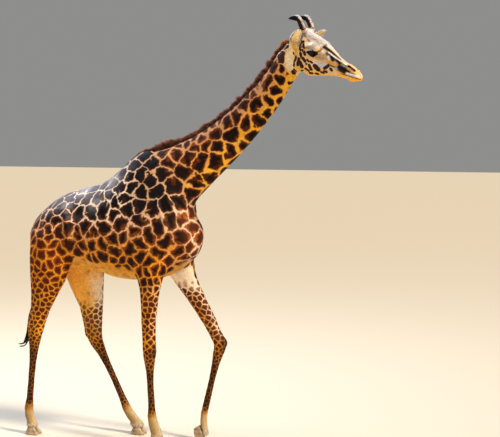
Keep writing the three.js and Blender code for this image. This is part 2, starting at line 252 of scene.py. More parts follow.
# %% Named lines
NECK_LINE = mm(
    (-306, 12, 1990), (-126, 12, 2105), (34, 12, 2212), (189, 8, 2328),
    (384, -2, 2484), (692, -32, 2786), (886, -62, 3045), (949, -76, 3130),
)
LEG_LINES = {
    "hind_right": mm(
        (-1141, -128, 1690), (-1158, -146, 1390), (-1224, -144, 1140), (-1294, -140, 890),
        (-1339, -139, 500), (-1370, -138, 182), (-1338, -138, 76),
    ),
    "hind_left": mm(
        (-1096, 152, 1690), (-996, 167, 1330), (-936, 166, 1065), (-913, 164, 800),
        (-748, 163, 490), (-598, 162, 182), (-514, 162, 76),
    ),
    "fore_right": mm(
        (-211, -128, 1720), (-248, -146, 1400), (-269, -143, 985), (-266, -140, 752),
        (-257, -139, 450), (-244, -138, 212), (-202, -138, 76),
    ),
    "fore_left": mm(
        (-166, 152, 1720), (-116, 167, 1390), (130, 164, 985), (224, 162, 796),
        (137, 159, 440), (82, 157, 205), (80, 155, 91),
    ),
}
MIDDLE_Y = 0.012
SKULL_AT = np.array(Vector((0.934, -0.078, 3.120)))
TURN = np.array(
    Matrix.Rotation(radians(-12), 3, "Z")
    @ Matrix.Rotation(radians(26), 3, "Y")
    @ Matrix.Rotation(radians(13), 3, "X")
)


def to_skull(points):
    return (points - SKULL_AT) @ TURN


def from_skull(points):
    return np.asarray(points, float) @ TURN.T + SKULL_AT


# %% Measuring from a line
def rise(low, high, value):
    """0 below low, 1 above high, and smooth between. It falls if low is the larger."""
    t = np.clip((value - low) / (high - low), 0, 1)
    return t * t * (3 - 2 * t)


def soft(distance):
    """1 in the middle and 0 from a distance of 1 on."""
    return rise(1, 0, distance)


def between(low, high, value, edge):
    """1 between low and high, with soft edges."""
    return rise(low - edge, low + edge, value) * rise(high + edge, high - edge, value)


def near_line(points, line):
    """For each point: its distance to the line, how many joints along it lies, and the way out."""
    line = np.asarray(line, float)
    best = np.full(len(points), np.inf)
    share = np.zeros(len(points))
    out = np.zeros_like(points)
    for i, (a, b) in enumerate(zip(line[:-1], line[1:])):
        t = np.clip(((points - a) @ (b - a)) / ((b - a) @ (b - a)), 0, 1)
        off = points - a - t[:, None] * (b - a)
        far = np.linalg.norm(off, axis=1)
        nearer = far < best
        best[nearer] = far[nearer]
        share[nearer] = i + t[nearer]
        out[nearer] = off[nearer]
    return best, share, out


def bone_at(line, share):
    """The step of the line, from joint to joint, that lies beside each point."""
    bones = np.diff(line, axis=0)
    return bones[np.clip(share.astype(int), 0, len(bones) - 1)]


def square_to(bone):
    """The way forward, or up, at right angles to each bone."""
    return unit(np.stack([-bone[:, 2], np.zeros(len(bone)), bone[:, 0]], 1))


def oval(points, centre, radii):
    return soft(np.linalg.norm((points - np.array(centre)) / np.array(radii), axis=1))


def trail(points, path, wide):
    return soft(near_line(points, path)[0] / wide)


# %% [markdown]
# ## One skin
# Skin has no joins, so the solids of flesh become one mesh. A voxel remesh melts overlapping or
# touching solids into one closed surface of even quads. The head and ears need quads of 5 mm and
# the trunk gets by with 15 mm, so the two are remeshed apart and cut across the upper neck, 8 mm
# apart, and their open rims are bridged. The legs, the muzzle and the lids are then divided again.

# %% Remesh the flesh
FOOT_NODES = [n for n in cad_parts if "_claw_" in n]
HEAD_FLESH = ["head", "lower_jaw", "ear_left", "ear_right", "eye_left", "eye_right", "neck_upper"]
LOOSE = ["horn_left", "horn_right", "mane", "tail", "tail_tuft", *FOOT_NODES]
BODY_FLESH = [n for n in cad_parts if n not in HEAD_FLESH + LOOSE] + ["neck_upper"]
BODY_VOXEL = 0.015
HEAD_VOXEL = 0.0052
NECK_CUT = Vector((0.845, -0.062, 2.985))
NECK_WAY = Vector((0.62, -0.12, 0.78)).normalized()


def copied(nodes):
    """One bmesh that holds copies of these solids, with their loose triangles merged."""
    bm = bmesh.new()
    for name in nodes:
        bm.from_mesh(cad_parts[name].data)
    bmesh.ops.remove_doubles(bm, verts=bm.verts, dist=1e-5)
    return bm


def surface_of(nodes):
    """A search tree of the surface of these solids."""
    bm = copied(nodes)
    found = BVHTree.FromBMesh(bm)
    bm.free()
    return found


def remeshed(bm, voxel):
    """A new bmesh: the closed shapes in bm, melted into one surface of quads."""
    lump = linked("lump", bm)
    step = lump.modifiers.new("melt", "REMESH")
    step.mode = "VOXEL"
    step.voxel_size = voxel
    graph = bpy.context.evaluated_depsgraph_get()
    done = bpy.data.meshes.new_from_object(lump.evaluated_get(graph))
    bm = bmesh.new()
    bm.from_mesh(done)
    bpy.data.objects.remove(lump)
    bpy.data.meshes.remove(done)
    return bm


def cut_off(bm, at, way):
    """Removes what lies beyond the plane, and drops the slivers that the cut leaves on the rim."""
    everything = bm.verts[:] + bm.edges[:] + bm.faces[:]
    bmesh.ops.bisect_plane(bm, geom=everything, plane_co=at, plane_no=way, clear_outer=True)
    rim = [v for v in bm.verts if v.is_boundary]
    bmesh.ops.remove_doubles(bm, verts=rim, dist=0.0022)


body = remeshed(copied(BODY_FLESH), BODY_VOXEL)
cut_off(body, NECK_CUT - NECK_WAY * 0.006, NECK_WAY)
head = remeshed(copied(HEAD_FLESH), HEAD_VOXEL)
cut_off(head, NECK_CUT + NECK_WAY * 0.002, -NECK_WAY)
head_mesh = bpy.data.meshes.new("head_part")
head.to_mesh(head_mesh)
head.free()
body.from_mesh(head_mesh)
bpy.data.meshes.remove(head_mesh)
bmesh.ops.bridge_loops(body, edges=[e for e in body.edges if e.is_boundary])
print("skin so far:", len(body.verts), "points,", sum(e.is_boundary for e in body.edges), "open")

# %% Divide the legs and the face
LEG_FINE_BELOW = 1.02
EYE_PLACE = mm(186, 78, 88)
MOUTH_LINE = mm(
    (608, 0, 41), (592, 0, 48), (553, 0, 49), (516, 0, 43), (476, 0, 34), (446, 0, 28)
)
NOSTRIL_LINE = mm((486, 27, 99), (505, 28, 98), (522, 28, 94), (539, 25, 89))


def mirrored(points):
    """Folds both halves of the face onto its left half."""
    return points * np.array((1, 0, 1)) + np.abs(points) * np.array((0, 1, 0))


def divide(bm, wanted):
    """Divides the faces whose points are all wanted. Faces left lopsided become triangles."""
    bm.verts.ensure_lookup_table()
    keep = wanted(np.array([v.co for v in bm.verts]))
    chosen = [e for e in bm.edges if all(keep[v.index] for v in e.verts)]
    bmesh.ops.subdivide_edges(bm, edges=chosen, cuts=1, use_grid_fill=True)
    bmesh.ops.triangulate(bm, faces=[f for f in bm.faces if len(f.verts) > 4])
    bm.verts.index_update()


def by_eye(reach):
    return lambda at: np.linalg.norm(mirrored(to_skull(at)) - EYE_PLACE, axis=1) < reach


def by_muzzle(places):
    local = mirrored(to_skull(places))
    to_mouth = near_line(local * (1, 0, 1), MOUTH_LINE)[0] + 9 * (local[:, 0] < 0.40)
    return (to_mouth < 0.016) | (near_line(local, NOSTRIL_LINE)[0] < 0.022)


for region in (lambda at: at[:, 2] < LEG_FINE_BELOW, by_muzzle, by_eye(0.052), by_eye(0.040)):
    divide(body, region)
bmesh.ops.recalc_face_normals(body, faces=body.faces)
skin_triangles = sum(len(f.verts) - 2 for f in body.faces)
print("skin:", len(body.verts), "points,", skin_triangles, "triangles")

# %% [markdown]
# The solids are faceted, so the skin is relaxed: each point moves towards the middle of its
# neighbours, many times on the broad trunk and only a few on the thin legs, ears and muzzle. First
# the points of the legs are laid back on the solids, which puts right what the coarse voxels lost.

# %% Relax the skin
TRUNK_ROUNDS, NECK_ROUNDS, LEG_ROUNDS, HEAD_ROUNDS = 46, 24, 9, 7
skin = linked("skin", body)
count = len(skin.data.vertices)
co = fetched(skin.data.vertices, "co")
edges = fetched(skin.data.edges, "vertices", 2, int)
valence = np.bincount(edges.ravel(), minlength=count)[:, None]
surface = surface_of([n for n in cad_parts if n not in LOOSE])
for i in np.where(co[:, 2] < LEG_FINE_BELOW)[0]:
    co[i] = surface.find_nearest(co[i])[0]


def middles(values):
    """The mean of each point's neighbours."""
    total = np.empty_like(values)
    for k in range(values.shape[1]):
        total[:, k] = np.bincount(edges[:, 0], values[edges[:, 1], k], count)
        total[:, k] += np.bincount(edges[:, 1], values[edges[:, 0], k], count)
    return total / valence


def relaxed(places, times):
    """Moves each point half way to its neighbours' mean, as many times as its own number says."""
    for done in range(int(times.max())):
        share = np.clip(times - done, 0, 1)[:, None] * 0.5
        places = places + share * (middles(places) - places)
    return places


def normals_of(places):
    """Point normals of the skin with these places."""
    skin.data.vertices.foreach_set("co", places.ravel())
    skin.data.update()
    return fetched(skin.data.vertices, "normal")


on_head = rise(0.0, 0.06, (co - np.array(NECK_CUT)) @ np.array(NECK_WAY))
on_legs = rise(1.30, 1.05, co[:, 2])
on_neck = rise(1.5, 3.5, near_line(co, NECK_LINE)[1]) * (1 - on_head)
times = TRUNK_ROUNDS * (1 - on_neck) + NECK_ROUNDS * on_neck
times = times * (1 - on_legs) + LEG_ROUNDS * on_legs
times = times * (1 - on_head) + HEAD_ROUNDS * on_head
co = relaxed(co, times)
print("relaxed in", int(times.max()), "rounds")

# %% [markdown]
# ## Muscles, bones and folds
# The rest of the form is carved as a sculptor would, with a few strokes: a swell raises a muscle or
# a bone, and a stroke raises a ridge along a path, or cuts a groove if its height is below nothing.
# Both move points along the skin's own normals and fade out smoothly at their edge.
#
# She is lean, so the hip bone, the ribs and the blade of the shoulder show, the flank falls in
# before the thigh, and the thin skin makes folds where the neck meets the shoulder. The far side
# has the same forms, moved forward with its legs.

# %% Trunk and neck
STILL, HIND, FORE = 0, 0.11, 0.06
RIBS, RIB_APART, RIB_WIDE, RIB_HIGH = 8, 0.056, 0.026, 0.0035
normal = normals_of(co)


def raised(places, ways, amount):
    return places + ways * amount[:, None]


def on_side(side, path, forward=STILL):
    """A path given for the near side, laid on that side or its mirror image, and moved forward."""
    moved = forward if side > 0 else 0
    return [(x + moved, MIDDLE_Y + (MIDDLE_Y - y) * side, z) for x, y, z in path]


for side in (-1, 1):
    for centre, radii, height, forward in (
        ((-987, -170, 1886), (75, 90, 60), 15, STILL),
        ((-880, -200, 1850), (110, 120, 120), -13, STILL),
        ((-1330, -90, 1640), (80, 90, 80), 10, STILL),
        ((-1120, -210, 1600), (130, 120, 210), 10, HIND),
        ((-1000, -170, 1370), (60, 90, 70), 8, HIND),
        ((-100, -190, 1760), (110, 100, 120), 10, STILL),
        ((-290, -220, 1640), (120, 120, 150), 12, STILL),
        ((-372, -170, 1440), (50, 90, 60), 11, FORE),
        ((30, -130, 1760), (80, 90, 90), 9, FORE),
        ((-380, -130, 2200), (100, 90, 90), 8, STILL),
    ):
        spot = on_side(side, [mm(*centre)], forward)[0]
        co = raised(co, normal, height / 1000 * oval(co, spot, mm(*radii)))
    for wide, height, forward, *path in (
        (40, 17, STILL, (-975, -190, 1840), (-935, -220, 1700), (-925, -210, 1560),
         (-930, -170, 1460), (-840, -100, 1390)),
        (36, -14, STILL, (-1020, -200, 1780), (-990, -220, 1660), (-980, -210, 1540)),
        (50, -8, STILL, (-900, -220, 1760), (-870, -230, 1620), (-860, -200, 1500)),
        (30, -6, HIND, (-1240, -190, 1780), (-1255, -220, 1450), (-1270, -190, 1200)),
        (45, 9, STILL, (-340, -130, 2150), (-200, -200, 1920), (-100, -200, 1740)),
        (50, -14, STILL, (-430, -180, 2060), (-410, -230, 1780), (-390, -230, 1540)),
        (35, -7, STILL, (-150, -190, 1660), (-250, -210, 1500), (-330, -200, 1440)),
        (40, -6, STILL, (120, -110, 2050), (400, -100, 2380), (700, -110, 2700)),
        (45, -4, STILL, (0, -150, 2220), (300, -110, 2500), (660, -110, 2840)),
        (22, 17, STILL, (-106, -177, 2025), (-60, -170, 1930), (6, -161, 1822)),
        (20, 14, STILL, (-12, -139, 2001), (30, -100, 1930), (60, -48, 1870)),
        (18, -12, STILL, (-75, -177, 2025), (-30, -170, 1930), (36, -150, 1822)),
        (22, 12, STILL, (-175, -190, 2000), (-145, -200, 1900), (-90, -200, 1800)),
        (18, -10, STILL, (-145, -190, 2010), (-112, -200, 1900), (-55, -190, 1800)),
        (20, -9, STILL, (-815, -200, 1900), (-810, -215, 1800), (-790, -225, 1740)),
        (20, -9, STILL, (-645, -200, 1970), (-645, -225, 1880), (-620, -240, 1760)),
        (30, -6, FORE, (-300, -110, 1370), (-200, -130, 1340), (-80, -120, 1360)),
    ):
        path = on_side(side, mm(*path), forward)
        co = raised(co, normal, height / 1000 * trail(co, path, wide / 1000))
    for rib in range(RIBS):
        x = -0.865 + RIB_APART * rib
        path = ((x - 0.02, -0.17, 2.02), (x, -0.24, 1.80), (x + 0.035, -0.25, 1.60),
                (x + 0.10, -0.18, 1.45))
        co = raised(co, normal, RIB_HIGH * trail(co, on_side(side, path), RIB_WIDE))
spine = mm((-1330, 12, 1860), (-1100, 12, 1980), (-900, 12, 2050), (-620, 12, 2170))
co = raised(co, normal, 0.006 * trail(co, spine, 0.040))
breast = mm((20, 12, 1550), (90, 12, 1700), (90, 12, 1840))
co = raised(co, normal, -0.010 * trail(co, breast, 0.05))

# %% [markdown]
# A giraffe's leg below the knee is bone, tendon and skin. A groove runs down each side between the
# cannon bone and the tendons behind it, a deeper one above the hock leaves the heel cord free, and
# the knee and the fetlock have knobs on both sides. These follow each leg's own line.

# %% Legs
normal = normals_of(co)
leg_near = np.full(count, np.inf)
leg_share, leg_side, leg_fore = np.zeros((3, count))
leg_name = np.full(count, "", dtype=object)
for name, line in LEG_LINES.items():
    far, share, out = near_line(co, line)
    ahead = square_to(bone_at(line, share))
    mine = far < leg_near
    leg_near[mine] = far[mine]
    leg_share[mine] = share[mine]
    leg_side[mine] = (out[:, 1] * (1 if "left" in name else -1))[mine]
    leg_fore[mine] = (out * ahead).sum(1)[mine]
    leg_name[mine] = name
around = np.degrees(np.arctan2(np.abs(leg_side), leg_fore))
is_hind = np.array([n.startswith("hind") for n in leg_name])
below_belly = (leg_near < 0.20) & (co[:, 2] < 1.35)
for chosen, shares, angle, wide, depth in (
    (below_belly, (3.25, 4.85), 118, 30, -0.0038),
    (below_belly & is_hind, (2.35, 2.92), 122, 38, -0.0085),
    (below_belly & ~is_hind, (1.15, 2.60), 100, 22, -0.0040),
    (below_belly & is_hind, (1.30, 2.30), 95, 24, -0.0045),
    (below_belly, (4.80, 5.15), 90, 45, 0.0030),
    (below_belly & ~is_hind, (2.85, 3.15), 75, 40, 0.0045),
    (below_belly & is_hind, (2.90, 3.12), 70, 40, 0.0040),
    (below_belly & ~is_hind, (3.12, 3.22), 0, 60, -0.0030),
):
    strength = between(*shares, leg_share, 0.06) * soft(np.abs(around - angle) / wide)
    co = raised(co, normal, depth * strength * chosen)
print("legs carved:", int(below_belly.sum()), "points")

# %% [markdown]
# ## The head
# A giraffe's face is long and dry: a brow that stands over the eye, a bony rim that runs back from
# it to the ear, a hollow cheek, slit nostrils that can close, and a long upper lip that hangs over
# the lower one. All of it is carved on both halves at once, in the frame of the skull.

# %% Face
normal = normals_of(co)
co = relaxed(co, 1.0 * on_head)
local = mirrored(to_skull(co))
side_sign = np.sign(to_skull(co)[:, 1])
ways = normal @ TURN
ways[:, 1] *= side_sign
of_head = on_head > 0.5
for centre, radii, height in (
    ((92, 70, 165), (40, 40, 35), -6), ((110, 90, -35), (75, 60, 85), 6),
    ((285, 70, 10), (85, 50, 45), -6), ((215, 0, 185), (60, 40, 40), 7),
    ((330, 30, 120), (100, 25, 30), -2), ((525, 46, 110), (45, 22, 22), 6),
    ((545, 30, 20), (60, 35, 20), 4), ((560, 28, 72), (40, 30, 20), 5),
):
    strength = height / 1000 * oval(local, mm(*centre), mm(*radii))
    local = raised(local, ways, strength * of_head)
for wide, height, *path in (
    (16, 6, (140, 86, 128), (180, 92, 134), (225, 80, 130)),
    (16, 3, (225, 80, 130), (262, 62, 122)),
    (16, 4, (165, 94, 46), (110, 92, 46), (50, 86, 40)),
    (18, 4, (215, 88, 52), (270, 74, 50), (345, 58, 48)),
    (22, 3, (60, 90, -85), (110, 85, -105), (175, 70, -98)),
    (28, -9, (170, 0, -130), (300, 0, -80), (440, 0, -25)),
    (14, -2.5, (300, 55, 75), (400, 50, 78), (480, 50, 78)),
    (8, -4, (590, 0, 75), (602, 0, 58)),
):
    strength = height / 1000 * trail(local, mm(*path), wide / 1000)
    local = raised(local, ways, strength * of_head)

lip_far, _, lip_out = near_line(local * (1, 0, 1), MOUTH_LINE)
behind = 0.8 * rise(0.436, 0.40, local[:, 0])
below_nose = of_head & (local[:, 0] > 0.40)
over = lip_out[:, 2] > 0
for chosen, centre, wide, height in (
    (over, 0.011, 0.013, 0.0040), (~over, 0.010, 0.011, 0.0022), (True, 0.0, 0.0052, -0.0060),
):
    strength = height * soft(np.abs(lip_far - centre) / wide) * (1 - behind)
    local = raised(local, ways, strength * chosen * below_nose)
slit_far = near_line(local, NOSTRIL_LINE)[0]
local = raised(local, ways, 0.0042 * soft(np.abs(slit_far - 0.0135) / 0.009) * of_head)
local = raised(local, ways, -0.0130 * soft(slit_far / 0.0095) * of_head)

# %% [markdown]
# The lids are a shell that lies close round the eyeball. Inside the almond between them the skin
# dives under the eyeball, so the lids end in a real edge, and the eyeball, a piece of its own,
# fills the gap. The almond is set out on two axes: one along the slit, which climbs towards the
# nose, and one across it.

# %% Eyelids
EYE_BALL = 0.0300
LID_SHELL = 0.0323
SLIT_HALF = 0.0300
LID_UP, LID_DOWN = 0.0165, 0.0130
gaze = unit(np.array((0.20, 0.975, 0.02)))
slit_along = np.array((cos(radians(21)), 0, sin(radians(21))))
slit_along = unit(slit_along - gaze * (slit_along @ gaze))
slit_up = np.cross(gaze, slit_along)
slit_up *= np.sign(slit_up[2])


def eye_axes(points):
    """How far points lie along the slit, up across it, and out from the middle of the eye."""
    off = points - EYE_PLACE
    return off @ slit_along, off @ slit_up, off @ gaze


along, up, out = eye_axes(local)
ring_far = np.hypot(along, up)
bend = np.clip(1 - (along / SLIT_HALF) ** 2, 0, 1)
inside = np.minimum(LID_UP * bend**0.75 - up, up + LID_DOWN * bend)
beyond = -(np.abs(along) - SLIT_HALF) - np.abs(up)
gap = np.where(np.abs(along) < SLIT_HALF, inside, beyond)  # how far inside the opening
near_eye = of_head & (out > -0.004) & (ring_far < 0.055)
shell = np.sqrt(np.clip(LID_SHELL**2 - ring_far**2, 0, None))
wanted = np.where(ring_far < LID_SHELL * 0.97, shell, out)
crease = -0.0022 * soft(np.abs(up - LID_UP * 1.05 - 0.008) / 0.004) * (np.abs(along) < 0.03)
crease += -0.0014 * soft(np.abs(up + LID_DOWN * 1.05 + 0.007) / 0.004) * (np.abs(along) < 0.026)
lip = 0.0014 * soft(np.abs(gap + 0.0022) / 0.0030)
dive = -0.0090 * rise(-0.0002, 0.0018, gap)
on_lids = np.stack([along, up, 0 * up], 1)
tear = -0.0035 * trail(on_lids, [(0.028, 0, 0), (0.047, 0.001, 0)], 0.005)
moved = rise(0.0370, 0.0280, ring_far) * (wanted + lip - out) + dive + crease + tear
moved += -0.0030 * soft(np.abs(ring_far - 0.040) / 0.009) * (up < 0.012)
local[near_eye] += (moved[:, None] * gaze)[near_eye]
eye_gap = np.where(near_eye, gap, -1.0)

# %% [markdown]
# Each ear is a leaf in the solids. Here it becomes a cup: the middle of the leaf is pushed back and
# its edges stay, the base rolls into a tube, and the tip is drawn out to its full length.

# %% Ears
EARS = {
    "right": ((0.010, -0.072, 0.038), (0.075, -0.146, 0.215), (0.30, -0.90, -0.35), 0.017),
    "left": ((0.038, 0.070, 0.052), (0.092, 0.194, 0.168), (0.90, -0.35, -0.05), 0.016),
}
EAR_SHARES = (0.0, 0.18, 0.45, 0.72, 0.92, 1.0)
EAR_HALVES = (0.022, 0.032, 0.042, 0.034, 0.015, 0.004)
EAR_BOWS = (0.0, 0.7, 1.0, 0.7, 0.2, 0.0)
whole = local * np.stack([np.ones(count), side_sign, np.ones(count)], 1)
on_ear, ear_inside, ear_rim, ear_along = np.zeros((4, count))
ear_axes = {}
for hand, (root, tip, face, bow) in EARS.items():
    root, tip, face = (np.array(v) for v in (root, tip, face))
    length = np.linalg.norm(tip - root)
    grow = (tip - root) / length
    face = unit(face - grow * (face @ grow))
    ear_axes[hand] = (grow, face)
    off = whole - root
    share = off @ grow / length
    off[:, 0] += bow * np.interp(share, EAR_SHARES, EAR_BOWS)
    wide = off @ np.cross(grow, face)
    front = off @ face
    half = np.interp(share, EAR_SHARES, EAR_HALVES)
    mine = (share > 0.10) & (share < 1.1) & (np.abs(wide) < half + 0.012)
    mine &= (np.abs(front) < 0.034) & of_head & (np.sign(off[:, 1] + root[1]) == np.sign(root[1]))
    slices = np.linspace(0.12, 1.04, 16)
    ends = [np.append(wide[mine & (np.abs(share - s) < 0.045)], 0.0) for s in slices]
    least, most = (np.interp(share, slices, [pick(e) for e in ends]) for pick in (np.min, np.max))
    half = np.maximum(most - least, 0.004) / 2
    part = np.clip(np.abs(wide - (most + least) / 2) / half, 0, 1)
    hold = rise(0.16, 0.36, share) * mine
    back = 0.020 * rise(0.16, 0.42, share) * rise(1.02, 0.70, share) * (1 - part**2)
    roll = 0.010 * rise(0.62, 0.22, share) * part**2
    thin = 0.0025 * (front > 0)
    whole += ((roll - back - thin) * hold)[:, None] * face
    whole += (0.10 * rise(0.55, 0.93, share) * length * hold)[:, None] * grow
    on_ear = np.maximum(on_ear, rise(0.20, 0.32, share) * mine)
    ear_inside = np.maximum(ear_inside, hold * (front > -0.001) * rise(1.0, 0.72, part))
    ear_rim = np.maximum(ear_rim, hold * rise(0.60, 0.82, part))
    ear_along = np.where(mine, share, ear_along)
co[of_head] = from_skull(whole)[of_head]
co = relaxed(co, on_head * (eye_gap < -0.5) * 0.6)

# %% [markdown]
# Last, the skin is drawn in by the depth of the coat, which is thinnest on the face and the feet.

# %% Room for the coat
COAT_DEPTH = 0.0045
FACE_COAT_DEPTH = 0.0015
normal = normals_of(co)
depth = COAT_DEPTH + (FACE_COAT_DEPTH - COAT_DEPTH) * on_head
depth *= 1 - 0.55 * rise(0.5, 0.2, co[:, 2])
depth *= 1 - (eye_gap > -0.5)
co = raised(co, normal, -depth)
normal = normals_of(co)
skin.data.shade_smooth()
local = to_skull(co)
x_at, y_at, z_at = co.T
print("head points:", int(of_head.sum()), "ear points:", int((on_ear > 0.5).sum()))

# %% [markdown]
# ## Where the markings change
# The patches are large on the neck and the trunk, smaller on the haunch, small and crowded down the
# legs, and they fade out on the belly, on the inside of the legs and at the feet. Each of these
# changes is one number per point of the skin: how far apart the patches are, how wide the pale
# lines are, and how pale the place is.

# %% Regions of the body
_, neck_share, neck_out = near_line(co, NECK_LINE)
bone = bone_at(NECK_LINE, neck_share)
to_nape = (unit(neck_out) * square_to(bone)).sum(1)
up_neck = rise(1.0, 2.6, neck_share) * rise(1.90, 2.10, z_at) * (1 - on_head)
head_end = rise(4.6, 6.2, neck_share) * up_neck
throat = rise(-0.35, -0.85, to_nape) * up_neck

outward = normal[:, 1] * np.sign(y_at - MIDDLE_Y)
on_leg = below_belly * rise(1.35, 1.20, z_at)
inside_leg = on_leg * rise(0.10, -0.45, outward)
inside_leg *= np.where(is_hind, rise(3.0, 1.3, leg_share), rise(1.60, 0.60, leg_share))
between_legs = rise(-0.10, -0.55, outward) * rise(1.62, 1.48, z_at)
between_legs *= np.where(is_hind, rise(0.82, 1.20, z_at), rise(1.10, 1.36, z_at))
belly_height = 1.40 + 0.05 * rise(-0.35, -0.90, x_at)
underside = rise(-0.55, -0.88, normal[:, 2]) * rise(1.62, 1.50, z_at) * rise(1.15, 1.3, z_at)
flank_edge = rise(belly_height + 0.075, belly_height - 0.01, z_at)
flank_edge *= rise(0.3, -0.25, normal[:, 2])
flank_edge *= rise(-0.98, -0.90, x_at) * rise(-0.32, -0.42, x_at) * (1 - on_leg)
groin = rise(0.15, 0.02, np.linalg.norm((co - (-0.97, 0.012, 1.36)) / (1.6, 1.5, 1.4), axis=1))
hind_inner = is_hind * below_belly * rise(0.35, -0.25, outward) * rise(3.00, 1.30, leg_share)
sock = on_leg * rise(4.55, 4.95, leg_share)
pale = np.max(
    [underside, 0.85 * flank_edge, 0.9 * groin, inside_leg, 0.95 * between_legs, hind_inner, sock],
    axis=0,
)

back_height = rise(1.55, 2.00, z_at)
haunch = rise(-0.80, -1.10, x_at) * (z_at > 0.9)
gaskin = is_hind * below_belly * rise(1.38, 1.05, z_at)
forearm = ~is_hind * below_belly * rise(1.42, 1.15, z_at)
cannon = below_belly * rise(2.8, 3.35, leg_share)
spacing = np.full(count, 0.118)
for apart, mask in (
    (0.086, haunch * rise(1.95, 1.70, z_at)),
    (0.098, haunch * rise(1.70, 1.85, z_at)),
    (0.064, haunch * rise(1.62, 1.36, z_at)),
    (0.088, rise(1.62, 1.48, z_at) * (1 - haunch)),
    (0.066, rise(1.50, 1.38, z_at) * ~is_hind * below_belly),
    (0.128, up_neck),
    (0.104, head_end),
    (0.072, up_neck * rise(0.70, 0.95, to_nape)),
    (0.043, gaskin),
    (0.046, forearm),
    (0.031, cannon),
):
    pull(spacing, apart, mask)
line_wide = 0.0118 - 0.0008 * back_height
line_wide -= 0.0024 * rise(-0.80, -1.05, x_at) * (z_at > 0.9)
for wide, mask in (
    (0.0068, np.maximum(gaskin, forearm)),
    (0.0046, cannon),
    (0.0135, up_neck),
    (0.0200, throat),
    (0.0170, head_end * (1 - throat)),
):
    pull(line_wide, wide, mask)

# %% Regions of the head
JAW_EDGE_Z = (-0.20, -0.13, -0.10, -0.04, 0.06, 0.14)
JAW_EDGE_X = (0.110, 0.030, 0.000, -0.032, -0.030, -0.060)
behind_jaw = local[:, 0] - np.interp(local[:, 2], JAW_EDGE_Z, JAW_EDGE_X)
by_head = rise(0.0, 0.1, on_head + 0.4 * head_end)
pull(spacing, 0.062, rise(-0.16, -0.03, behind_jaw) * up_neck)
pull(spacing, 0.011, rise(0.006, 0.03, behind_jaw) * by_head)
pull(line_wide, 0.0090, rise(0.1, 0.5, on_head))
pale = np.maximum(pale, rise(-0.010, 0.008, behind_jaw) * by_head)
print("mean spacing", spacing.mean().round(3), "pale share", (pale > 0.5).mean().round(2))

# %% [markdown]
# ## Patches
# A giraffe's patches meet like the cells of a honeycomb that grew unevenly, so they are built as
# such cells. Points of the skin are picked in a seeded random order, and each one that stands far
# enough from those already picked becomes the middle of a patch. Moving every middle part of the
# way to the centre of its own cell evens them out a little. A pale line runs wherever the two
# nearest middles are about equally far away.

# %% Grow the patches
SEED = 11
PATCH_APART = 0.78
EVENING = 0.6
draw = np.random.default_rng(SEED)
noise.seed_set(SEED)  # vector noise would otherwise start from the clock


def tree_of(points):
    made = KDTree(len(points))
    for k, p in enumerate(points):
        made.insert(p, k)
    made.balance()
    return made


point_tree = tree_of(co)
taken = np.zeros(count, bool)
middles_at = []
for i in draw.permutation(count):
    if not taken[i]:
        middles_at.append(i)
        for _, j, _ in point_tree.find_range(co[i], PATCH_APART * spacing[i]):
            taken[j] = True
seeds = co[middles_at]
corners = fetched(skin.data.loops, "vertex_index", 1, int)
totals = fetched(skin.data.polygons, "loop_total", 1, int)
area = np.zeros(count)
np.add.at(area, corners, np.repeat(fetched(skin.data.polygons, "area", 1) / totals, totals))
seed_tree = tree_of(seeds)
owner = np.array([seed_tree.find(p)[1] for p in co])
held = np.maximum(np.bincount(owner, area, len(seeds)), 1e-12)
moved = np.stack([np.bincount(owner, area * co[:, k], len(seeds)) / held for k in range(3)], 1)
seeds = np.array([point_tree.find(p)[0] for p in seeds + EVENING * (moved - seeds)])
print("patches:", len(seeds))

# %% [markdown]
# The edges of real patches wander, so before the distances are taken each point is shifted a little
# by smooth noise. And short spurs of pale line run from many a border into a patch. A spur is a
# segment from a point on the border towards the middle of the patch, and it tapers to nothing.

# %% Ragged edges and spurs
WANDER = (0.030, 0.0150)
WANDER_SIZE = (0.120, 0.042)
SPUR_CHANCE = 0.12
SPUR_APART = 0.50
SPURS_MOST = 4


def clouds(size, seed):
    """Soft noise on every point, in lumps of a given size."""
    return np.array([noise.noise(Vector(p) / size + Vector(seed)) for p in co])


patch_size = np.clip(spacing / 0.11, 0.2, 1.1)
shift = np.zeros((count, 3))
for far, size in zip(WANDER, WANDER_SIZE):
    turns = np.array([noise.noise_vector(Vector(p) / size) for p in co])
    shift += turns * (far * patch_size * (1 - 0.5 * on_leg))[:, None]
line_wide = line_wide * (1 + 0.9 * clouds(0.065, (9, 4, 2)))
seed_tree = tree_of(seeds)


def three_nearest(points):
    """The three nearest patch middles to each point, and their distances."""
    found = [seed_tree.find_n(p, 3) for p in points]
    return (np.array([[hit[k] for hit in hits] for hits in found]) for k in (1, 2))


point_which, point_far = three_nearest(co + shift)
to_border = point_far[:, 1] - point_far[:, 0]
starts = np.where((to_border < 0.25 * line_wide) & (pale < 0.4) & (on_head < 0.5))[0]
starts = starts[draw.random(len(starts)) < SPUR_CHANCE]
spur_from, spur_to = [], []
crowded = {}
for i in draw.permutation(starts):
    own = point_which[i, 0]
    reach = spacing[i] * draw.uniform(0.22, 0.50)
    others = crowded.setdefault(own, [])
    apart = all(np.linalg.norm(co[i] - o) > SPUR_APART * spacing[i] for o in others)
    if apart and len(others) < draw.integers(0, SPURS_MOST):
        others.append(co[i])
        way = seeds[own] - co[i]
        side = np.cross(normal[i], way) * draw.uniform(-0.45, 0.45)
        way = (way + side) / np.linalg.norm(way + side)
        spur_from.append(co[i] - way * 0.004)
        spur_to.append(co[i] + way * reach)
spur_from, spur_to = np.array(spur_from), np.array(spur_to)
spur_tree = tree_of(spur_from * 0.6 + spur_to * 0.4)
print("spurs:", len(spur_from))

